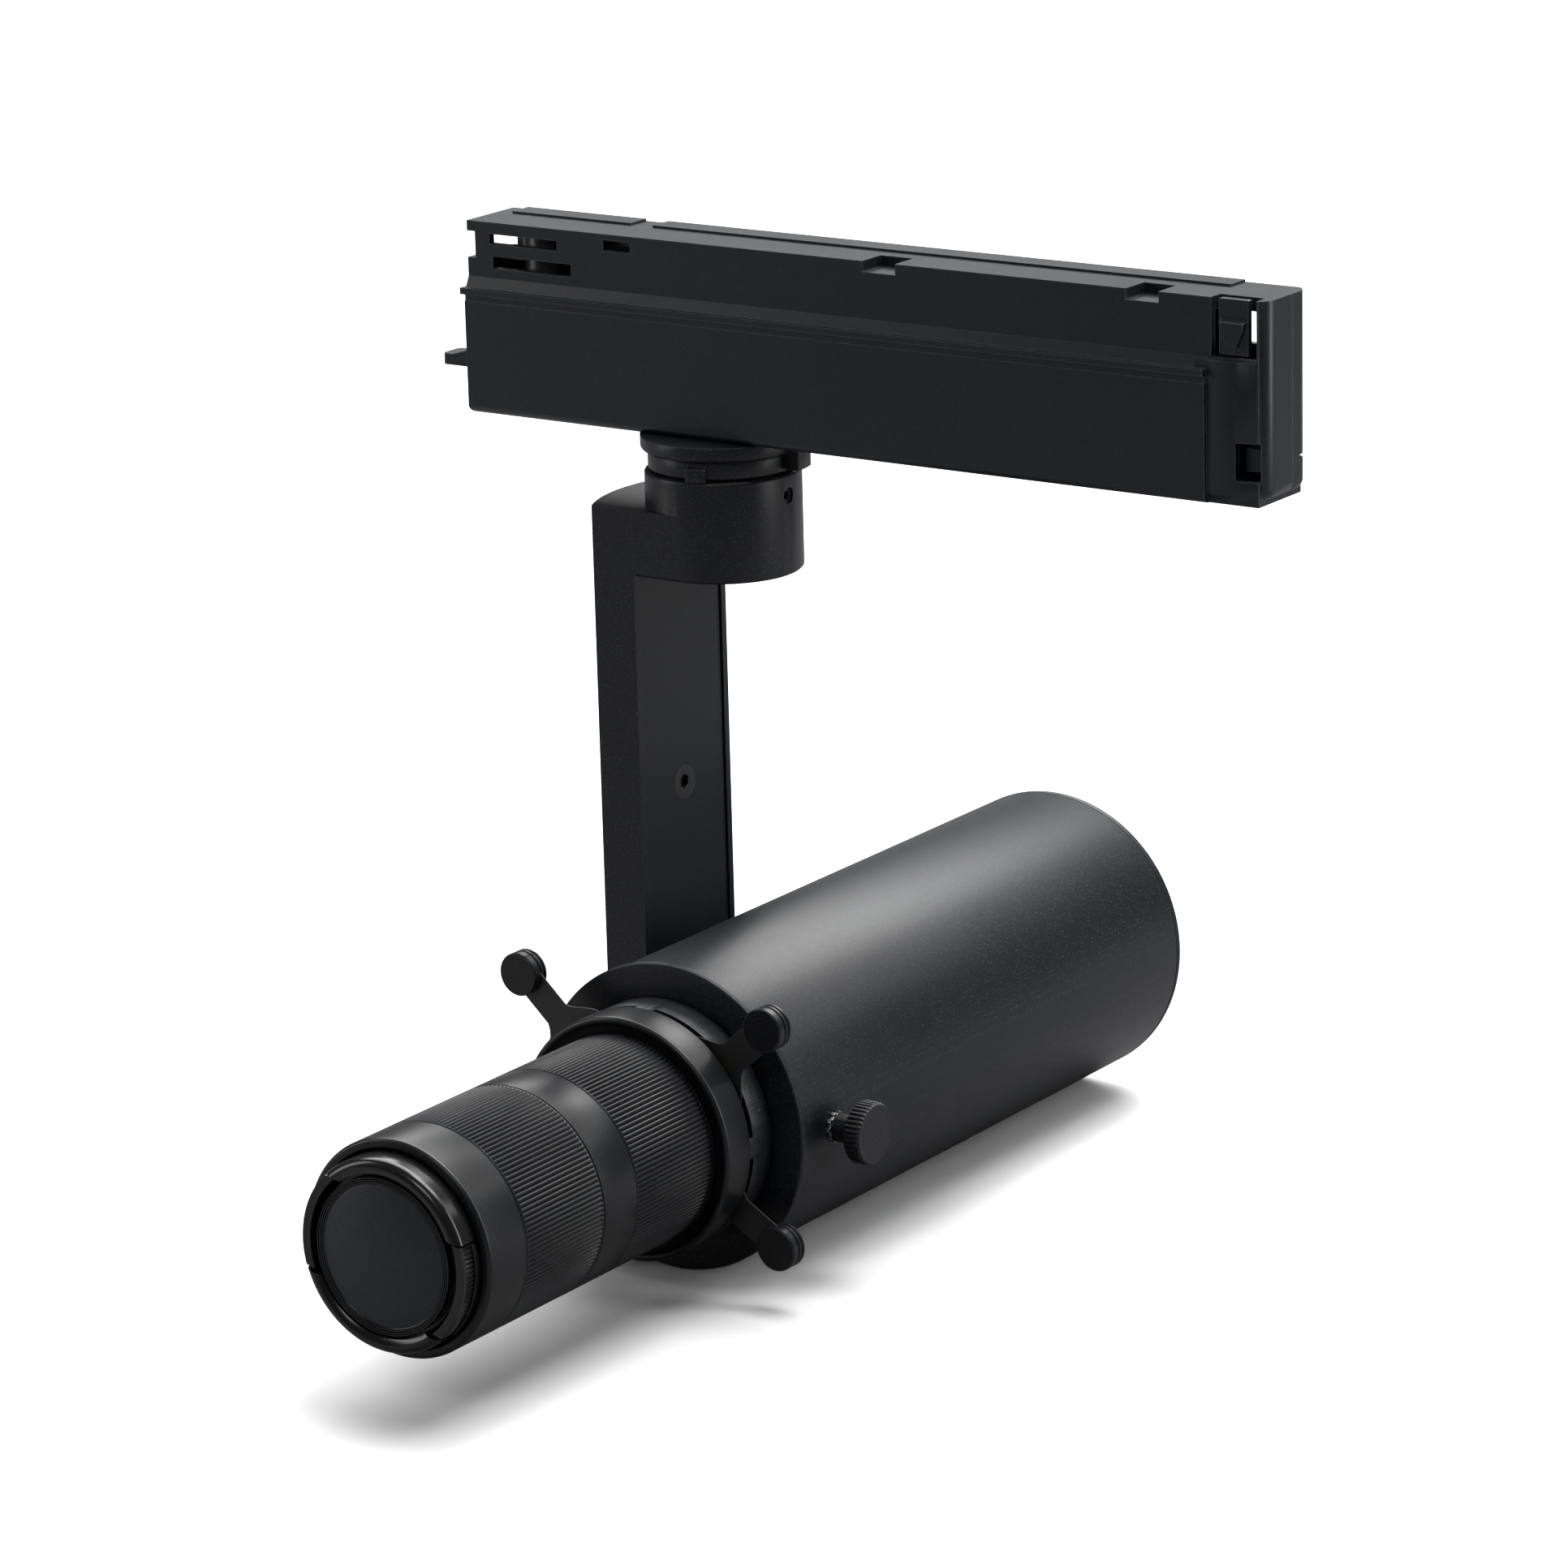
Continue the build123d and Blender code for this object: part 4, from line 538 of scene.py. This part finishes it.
def buildFlange():
    look = {"spigot": 4.7, "bore": 26.56, "tubeGap": 2.23, "groove": 0.16, "ease": 0.12}
    back, front = spanOf("front_flange")
    seat = back + look["spigot"]
    rim = radiusOf("front_flange")
    bore = look["bore"]
    tubeBore = radiusOf("body_tube") - look["tubeGap"]
    middle = (seat + front) / 2 + 0.1
    outline = [
        (bore, back), (tubeBore, back), (tubeBore, seat), (rim - 0.25, seat), (rim, seat + 0.25),
        (rim, middle - 0.14), (rim - look["groove"], middle), (rim, middle + 0.14),
        (rim, front - 0.3), (rim - 0.3, front), (bore + 0.5, front), (bore, front - 0.4),
    ]
    ring = lathe("frontFlange", eased(outline, look["ease"], 2), turns=256)
    fit(ring, "head", "body_powder", finish["body_powder"], "front_flange")


def buildRearCover():
    # the CAD cover has the vents, so a soft edge is all it needs
    bevelled(frame["nodes"]["rear_cover"], 0.25)


# ---------- gate ----------
def buildCollar():
    look = {
        "dishRadius": 24.6, "dish": 1.2, "bore": 21.25, "webBore": 14.0, "web": 2.0,
        "roll": 0.95, "rollTurn": 150, "rollSteps": 9,
    }
    back, front = spanOf("front_collar")
    rim = radiusOf("front_collar")
    roll = look["roll"]
    web = back + look["web"]
    outline = [(look["webBore"], back), (rim - 0.25, back), (rim, back + 0.25)]
    outline += arc(rim - roll, front - roll, roll, 0, look["rollTurn"], look["rollSteps"])
    outline += [(look["dishRadius"], front - look["dish"]), (look["bore"], front - look["dish"])]
    outline += [(look["bore"], web), (look["webBore"], web)]
    collar = lathe("frontCollar", outline, turns=256)
    fit(collar, "optics", "body_powder", finish["ring_black"], "front_collar")


def turnedFace(radius, low, high, ridges, depth):
    # a knob face from its rim to its centre, with the rings that the lathe tool leaves
    points = [(radius, low + 0.25), (radius, high - 0.3), (radius - 0.3, high)]
    for k in range(ridges):
        r = (radius - 0.55) * (1 - (k + 0.5) / ridges)
        points.append((r + 0.12, high - (0 if k % 2 else depth)))
        points.append((r - 0.12, high - (0 if k % 2 else depth)))
    points.append((0, high - depth))
    return points


def bladeOutline(look):
    # from the rounded end behind the knob, along the neck and the flare, to the straight edge
    neck, wide = look["neck"], look["wide"]
    half = [(0, neck), (look["flareFrom"], neck)]
    steps = look["flareSteps"]
    for k in range(1, steps + 1):
        t = k / steps
        bow = t * t * (3 - 2 * t) * 0.6 + t * 0.4
        x = look["flareFrom"] + (look["flareTo"] - look["flareFrom"]) * t
        half.append((x, neck + (wide - look["shoulder"] - neck) * bow))
    half += [(look["flareTo"] + look["shoulder"], wide), (look["edge"], wide)]
    rounded = [(-1.6, 3.4), (-3.2, 2.2), (-3.8, 0)]
    below = [(x, -y) for x, y in reversed(half)]
    return half + below + [(x, -y) for x, y in rounded] + list(reversed(rounded[:-1]))


def rearKnobOutline(knob, rear, under):
    # a disc with one groove round it
    waist = knob - 0.35
    return [
        (0, rear), (waist, rear), (knob, rear + 0.3), (knob, under - 1.35), (waist, under - 1.2),
        (waist, under - 0.85), (knob, under - 0.7), (knob, under - 0.2), (knob - 0.2, under), (0, under),
    ]


def buildShutters():
    look = {
        "sheet": 0.3, "knob": 4.9, "knobBack": 2.1, "knobFront": 2.1, "neck": 3.6, "wide": 11.0, "edge": 28.9,
        "pin": 5.4, "flareFrom": 12.0, "flareTo": 18.5, "flareSteps": 6, "shoulder": 1.5,
        "rings": 9, "ringDepth": 0.035, "turns": 96,
    }
    knob, sheet = look["knob"], look["sheet"]
    for number in range(1, 5):
        node, body = f"shutter_{number}", f"blade_{number}"
        pivot = Vector(jointOf[f"shutter_{number}_angle"]["pos_m"])
        inward = Vector(jointOf[f"shutter_{number}_push"]["axis"]).normalized()
        centre = pivot - inward * (look["edge"] - look["pin"]) * mm
        side = Vector((0, -1, 0)).cross(inward)
        place = Matrix((
            (inward.x, side.x, 0, centre.x),
            (inward.y, side.y, -1, 0),
            (inward.z, side.z, 0, centre.z),
            (0, 0, 0, 1),
        ))
        front = spanOf(node)[1]
        top = front - look["knobFront"]
        under = top - sheet
        blade = plate(f"shutterBlade{number}", bladeOutline(look), under, top, place)
        fit(bevelled(blade, 0.05, 1), body, "blade_sheet", finish["blade_sheet"], node)
        face = [(0, top), (knob - 0.25, top)] + turnedFace(knob, top, front, look["rings"], look["ringDepth"])
        ring = rearKnobOutline(knob, under - look["knobBack"], under)
        for name, outline in (("knobFront", face), ("knobRear", ring)):
            disc = lathe(f"{name}{number}", outline, place, look["turns"])
            fit(disc, body, "blade_sheet", finish["ring_black"])


# ---------- lens ----------
def gripRing(name, node, body):
    look = {"ridges": 140, "depth": 0.5, "fade": 0.35, "sharpness": 0.45, "plain": 0.45, "bore": 21.26}
    back, front = spanOf(node)
    rim = radiusOf(node)

    def ridge(angle, r, s):
        # rounded ridges, fading out at both ends of the grip
        if r < rim - 0.05:
            return r
        ends = min(s - back - look["plain"], front - look["plain"] - s)
        share = max(0.0, min(1.0, ends / look["fade"]))
        wave = 0.5 + 0.5 * math.cos(look["ridges"] * angle)
        return r - look["depth"] * share * (1 - wave ** look["sharpness"])

    low = back + look["plain"]
    high = front - look["plain"]
    outline = [(look["bore"], back), (rim - 0.3, back), (rim, back + 0.3)]
    outline += [(rim, low + step) for step in (0, 0.2, 0.4)] + [(rim, high - step) for step in (0.4, 0.2, 0)]
    outline += [(rim, front - 0.3), (rim - 0.3, front), (look["bore"], front)]
    ring = lathe(name, outline, turns=look["ridges"] * 6, ripple=ridge)
    fit(ring, body, "ring_black", finish["ring_black"], node)


def buildBands():
    look = {
        "bore": 21.25, "mouth": 21.7, "shoulder": 0.9, "ease": 0.22,
        "stop": 19.6, "mouthDepth": 5.4, "stopThick": 0.4,
    }
    bore, mouth = look["bore"], look["mouth"]
    back, front = spanOf("mid_band")
    rim = radiusOf("mid_band")
    outline = eased([(bore, back), (rim, back), (rim, front), (bore, front)], look["ease"])
    band = lathe("midBand", outline, turns=256)
    fit(band, "optics", "ring_black", finish["ring_black"], "mid_band")
    back, front = spanOf("nose_band")
    rim = radiusOf("nose_band")
    bend = look["shoulder"]
    seat = front - look["mouthDepth"]
    outline = [(bore, back), (rim - 0.2, back), (rim, back + 0.2)]
    outline += arc(rim - bend, front - bend, bend, 0, 90, 6)
    outline += [(mouth + 0.35, front), (mouth, front - 0.35), (mouth, seat)]
    outline += [(look["stop"], seat), (look["stop"], seat - look["stopThick"])]
    outline += [(bore, seat - look["stopThick"])]
    fit(lathe("noseBand", outline, turns=256), "optics", "ring_black", finish["ring_black"], "nose_band")


# ---------- lens cap ----------
padTurns = (-16.0, 164.0)


def padFrame(turn):
    return lampFrame @ Matrix.Rotation(math.radians(turn), 4, "Z")


def halfTurn(half, r):
    # angle from the middle of a pad to its end, at a radius
    return math.degrees(math.asin(half / r))


def buildCapRim():
    look = {
        "rim": 21.2, "wall": 1.6, "floorThick": 1.2, "floor": 160.4, "roll": 2.0, "lip": 17.8,
        "padHalf": 10.8, "padGap": 0.5, "reach": 30,
    }
    back, front = spanOf("cap_rim")
    rim, roll, lip = look["rim"], look["roll"], look["lip"]
    inside = rim - look["wall"]
    low = look["floor"] - look["floorThick"]
    outline = [(0, low), (inside, low), (inside, back), (rim, back)]
    outline += arc(rim - roll, front - roll, roll, 0, 90, 8)
    outline += [(18.7, front - 0.22), (18.0, front - 0.55), (lip, front - 0.75)]
    outline += [(lip, look["floor"]), (0, look["floor"])]
    shell = lathe("capRim", outline, turns=256)
    half = look["padHalf"] + look["padGap"]
    span = halfTurn(half, lip)
    cutters = []
    for turn in padTurns:
        gap = arc(0, 0, lip, span, -span, 24) + [(look["reach"], -half), (look["reach"], half)]
        cutters.append(plate("cutter", gap, back - 1, front + 1, padFrame(turn)))
    cutAway(shell, cutters)
    fit(shell, "lens_cap", "cap_gloss", finish["cap_gloss"], "cap_rim")


def buildCapDisc():
    # three rings round the textured centre
    look = {"rim": 17.2, "ringStep": 0.5, "ringDrop": 0.05, "rings": 3, "centre": 15.45, "ease": 0.06}
    low, high = spanOf("cap_disc")
    steps = [(0, low), (look["rim"], low), (look["rim"], high - 0.3)]
    for k in range(look["rings"]):
        r = look["rim"] - 0.1 - look["ringStep"] * k
        crest = high - look["ringDrop"] * k
        steps += [(r, crest), (r - 0.22, crest), (r - 0.3, high - 0.4), (r - 0.42, high - 0.4)]
    steps += [(15.6, high - 0.5), (0, high - 0.5)]
    rings = lathe("capRings", eased(steps, look["ease"], 2), turns=256)
    fit(rings, "lens_cap", "cap_grain", finish["cap_gloss"], "cap_disc")
    edge = look["centre"]
    centre = [(0, high - 0.9), (edge, high - 0.9), (edge, high - 0.42)]
    centre += [(edge - 0.25, high - 0.3), (0, high - 0.3)]
    fit(lathe("capCentre", centre, turns=256), "lens_cap", "cap_grain", finish["cap_grain"])


def buildCapPads():
    look = {
        "half": 10.8, "inner": 19.0, "outer": 21.5, "teeth": 22, "toothDepth": 0.35, "inset": 0.35,
        "hookOuter": 21.5, "hookInner": 19.85, "hookTurn": 26, "hookDepth": 5.5,
    }
    half, outerR, depth = look["half"], look["outer"], look["toothDepth"]
    for name, turn in zip(("Right", "Left"), padTurns):
        node, body = "cap_latch_" + name.lower(), "cap_pad_" + name.lower()
        back, front = spanOf(node)
        place = padFrame(turn)
        reach = halfTurn(half, outerR)
        count = look["teeth"] * 4
        toothed = []
        for k in range(count + 1):
            a = math.radians(-reach + 2 * reach * k / count)
            r = outerR - look["inset"] - depth * (0.5 - 0.5 * math.cos(2 * math.pi * k / 4))
            toothed.append((r * math.cos(a), r * math.sin(a)))
        bow = halfTurn(half, look["inner"])
        inside = arc(0, 0, look["inner"], bow, -bow, 24)
        # teeth along the middle, a smooth lip behind them and a smooth face in front
        grip = plate("padGrip" + name, toothed + inside, back + 6.4, front - 1.4, place)
        fit(bevelled(grip, 0.08, 2, 50), body, "cap_gloss", finish["cap_gloss"], node)
        smooth = (("Lip", outerR, back + 5.4, back + 6.5), ("Face", outerR - 0.45, front - 1.5, front - 0.5))
        for part, r, low, high in smooth:
            span = halfTurn(half, r)
            piece = plate("pad" + part + name, arc(0, 0, r, -span, span, 24) + inside, low, high, place)
            fit(bevelled(piece, 0.15, 2, 50), body, "cap_gloss", finish["cap_gloss"])
        way = look["hookTurn"]
        hook = arc(0, 0, look["hookOuter"], -way, way, 24)
        hook += arc(0, 0, look["hookInner"], way + 2, -way - 2, 24)
        piece = plate("padHook" + name, hook, back, back + look["hookDepth"], place)
        fit(piece, body, "cap_gloss", finish["cap_gloss"])


def buildCap():
    buildCapRim()
    buildCapDisc()
    buildCapPads()


# ---------- thumbscrew ----------
def buildThumbscrew():
    look = {
        "teeth": 40, "bite": 0.35, "head": 7.0, "headThick": 4.1, "collar": 3.3, "collarLong": 5.6,
        "waist": 0.35, "shaft": 2.0, "rings": 11, "ringReach": 5.9, "ringDrop": 0.05, "ringDepth": 0.03,
    }
    low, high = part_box("thumbscrew")
    sideways = Matrix(((0, 0, 1, 0), (0, 1, 0, (low.y + high.y) / 2), (-1, 0, 0, lampZ), (0, 0, 0, 1)))
    tip, face = low.x / mm, high.x / mm
    neck = face - look["headThick"]
    start = neck - look["collarLong"]

    def tooth(angle, r, s):
        if r < look["head"] - 0.02:
            return r
        return r - look["bite"] * (0.5 - 0.5 * math.cos(look["teeth"] * angle)) ** 1.3

    head, collar, shaft = look["head"], look["collar"], look["shaft"]
    waist = collar - look["waist"]
    outline = [(0, tip), (shaft - 0.3, tip), (shaft, tip + 0.3), (shaft, start)]
    outline += [(collar - 0.25, start), (collar, start + 0.25), (collar, neck - 1.7), (waist, neck - 1.5)]
    outline += [(waist, neck - 1.0), (collar, neck - 0.8), (collar, neck), (head - 0.5, neck)]
    outline += [(head, neck + 0.4), (head, face - 0.45), (head - 0.55, face)]
    for k in range(look["rings"]):
        r = look["ringReach"] * (1 - (k + 0.5) / look["rings"])
        drop = look["ringDrop"] + (look["ringDepth"] if k % 2 else 0.0)
        outline += [(r + 0.15, face - drop), (r - 0.15, face - drop)]
    outline.append((0, face - 0.06))
    screw = lathe("clampThumbscrew", outline, sideways, look["teeth"] * 8, tooth)
    fit(screw, "clamp_screw", "body_powder", finish["ring_black"], "thumbscrew")


# ---------- swivel ----------
def buildSwivel():
    look = {"swivel_disc": 0.3, "stop_ring": 0.25, "swivel_boss": 0.45, "arm": 0.5, "arm_cover": 0.25}
    for node, width in look.items():
        bevelled(frame["nodes"][node], width, 3)


def dressFrame():
    # every CAD node that still shows gets its finish; edges that show get a soft bevel
    soft = {
        "adapter_front_shell": 0.3, "adapter_back_shell": 0.3, "lock_lever": 0.4, "release_slider": 0.3,
        "latch_tongue_front": 0.2, "latch_tongue_back": 0.2, "gate_drum": 0.15, "contact_carrier": 0.2,
        "yoke_screws": 0.12, "rear_screws": 0.12, "tilt_bolt": 0.3, "lock_washer": 0.08,
    }
    for name, obj in frame["nodes"].items():
        obj.data.materials.clear()
        obj.data.materials.append(finish[slotOf[name]])
        if name in soft and not obj.modifiers:
            bevelled(obj, soft[name])


def weldFirst(gap=0.002):
    # imported meshes are split along their creases, so they are joined up before the bevel
    for obj in frame["nodes"].values():
        if not obj.modifiers:
            continue
        weld = obj.modifiers.new("joinUp", "WELD")
        weld.merge_threshold = gap * mm
        obj.modifiers.move(len(obj.modifiers) - 1, 0)


buildBodyTube()
buildFlange()
buildRearCover()
print("lamp body done")
buildCollar()
buildShutters()
print("gate done")
gripRing("zoomGrip", "zoom_ring", "zoom_grip")
gripRing("focusGrip", "focus_ring", "focus_grip")
buildBands()
buildCap()
print("lens done")
buildThumbscrew()
buildSwivel()
dressFrame()
weldFirst()
print("frame dressed")


# ---------- studio ----------
def buildStudio():
    look = {
        "floorColour": (0.94, 0.94, 0.94), "floorSeenByGloss": (0.16, 0.16, 0.165), "floorRough": 0.8,
        "sky": (1.0, 1.0, 1.0), "skyStrength": 1.0, "roomStrength": 0.07, "floorSize": 12.0, "gap": 0.0004,
    }
    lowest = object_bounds()[0][2]
    mesh = bpy.data.meshes.new("floor")
    half = look["floorSize"] / 2
    corners = [(-half, -half, 0), (half, -half, 0), (half, half, 0), (-half, half, 0)]
    mesh.from_pydata(corners, [], [(0, 1, 2, 3)])
    floor = bpy.data.objects.new("floor", mesh)
    floor.location.z = lowest - look["gap"]
    bpy.context.scene.collection.objects.link(floor)
    paper = bpy.data.materials.new("paperFloor")
    paper.use_nodes = True
    shader = paper.node_tree.nodes["Principled BSDF"]
    shader.inputs["Roughness"].default_value = look["floorRough"]
    mesh.materials.append(paper)

    # bright paper behind and below, but a dark room round the object's gloss
    tree = paper.node_tree
    path = tree.nodes.new("ShaderNodeLightPath")
    seen = mixColour(tree, path.outputs["Is Camera Ray"], look["floorSeenByGloss"], look["floorColour"])
    tree.links.new(seen, shader.inputs["Base Color"])
    world = bpy.data.worlds.new("studioWorld")
    bpy.context.scene.world = world
    world.use_nodes = True
    tree = world.node_tree
    background = tree.nodes["Background"]
    background.inputs["Color"].default_value = (*look["sky"], 1)
    path = tree.nodes.new("ShaderNodeLightPath")
    strength = spread(tree, path.outputs["Is Camera Ray"], look["roomStrength"], look["skyStrength"])
    tree.links.new(strength, background.inputs["Strength"])

    lights = (
        ("topSoft", (0.35, 0.15, 1.15), (0.55, 0.8), 11.0),
        ("floorWash", (0.3, 0.9, 1.6), (2.4, 2.4), 34.0),
        ("backWash", (-1.4, 2.1, 2.4), (3.6, 3.6), 210.0, (-1.4, 2.1, 0.0)),
        ("leftSoft", (-1.2, -0.8, 0.35), (0.4, 1.1), 4.5),
        ("rightSoft", (1.25, 0.35, 0.25), (0.35, 1.2), 7.0),
        ("frontFill", (0.2, -1.6, 1.1), (0.7, 0.5), 5.0),
    )
    target = Vector((0.03, -0.02, -0.09))
    for name, place, size, power, *aim in lights:
        data = bpy.data.lights.new(name, "AREA")
        data.shape = "RECTANGLE"
        data.size, data.size_y = size
        data.energy = power
        lamp = bpy.data.objects.new(name, data)
        lamp.location = place
        towards = Vector(aim[0]) if aim else target
        lamp.rotation_euler = (towards - Vector(place)).to_track_quat("-Z", "Y").to_euler()
        bpy.context.scene.collection.objects.link(lamp)


def buildCamera():
    look = {
        "place": (0.767685, -1.083326, 0.263699), "right": (0.82479, 0.56486, -0.02547),
        "up": (-0.13325, 0.23795, 0.96209), "lens": 139.82,
    }
    right = Vector(look["right"]).normalized()
    up = Vector(look["up"])
    back = right.cross(up).normalized()
    up = back.cross(right)
    data = bpy.data.cameras.new("view")
    data.lens = look["lens"]
    data.sensor_width = 36.0
    data.clip_start = 0.05
    data.clip_end = 50.0
    camera = bpy.data.objects.new("view", data)
    camera.matrix_world = Matrix((
        (right.x, up.x, back.x, look["place"][0]),
        (right.y, up.y, back.y, look["place"][1]),
        (right.z, up.z, back.z, look["place"][2]),
        (0, 0, 0, 1),
    ))
    bpy.context.scene.collection.objects.link(camera)
    bpy.context.scene.camera = camera


buildStudio()
buildCamera()
bpy.context.scene.view_settings.view_transform = "Standard"
print("studio ready")
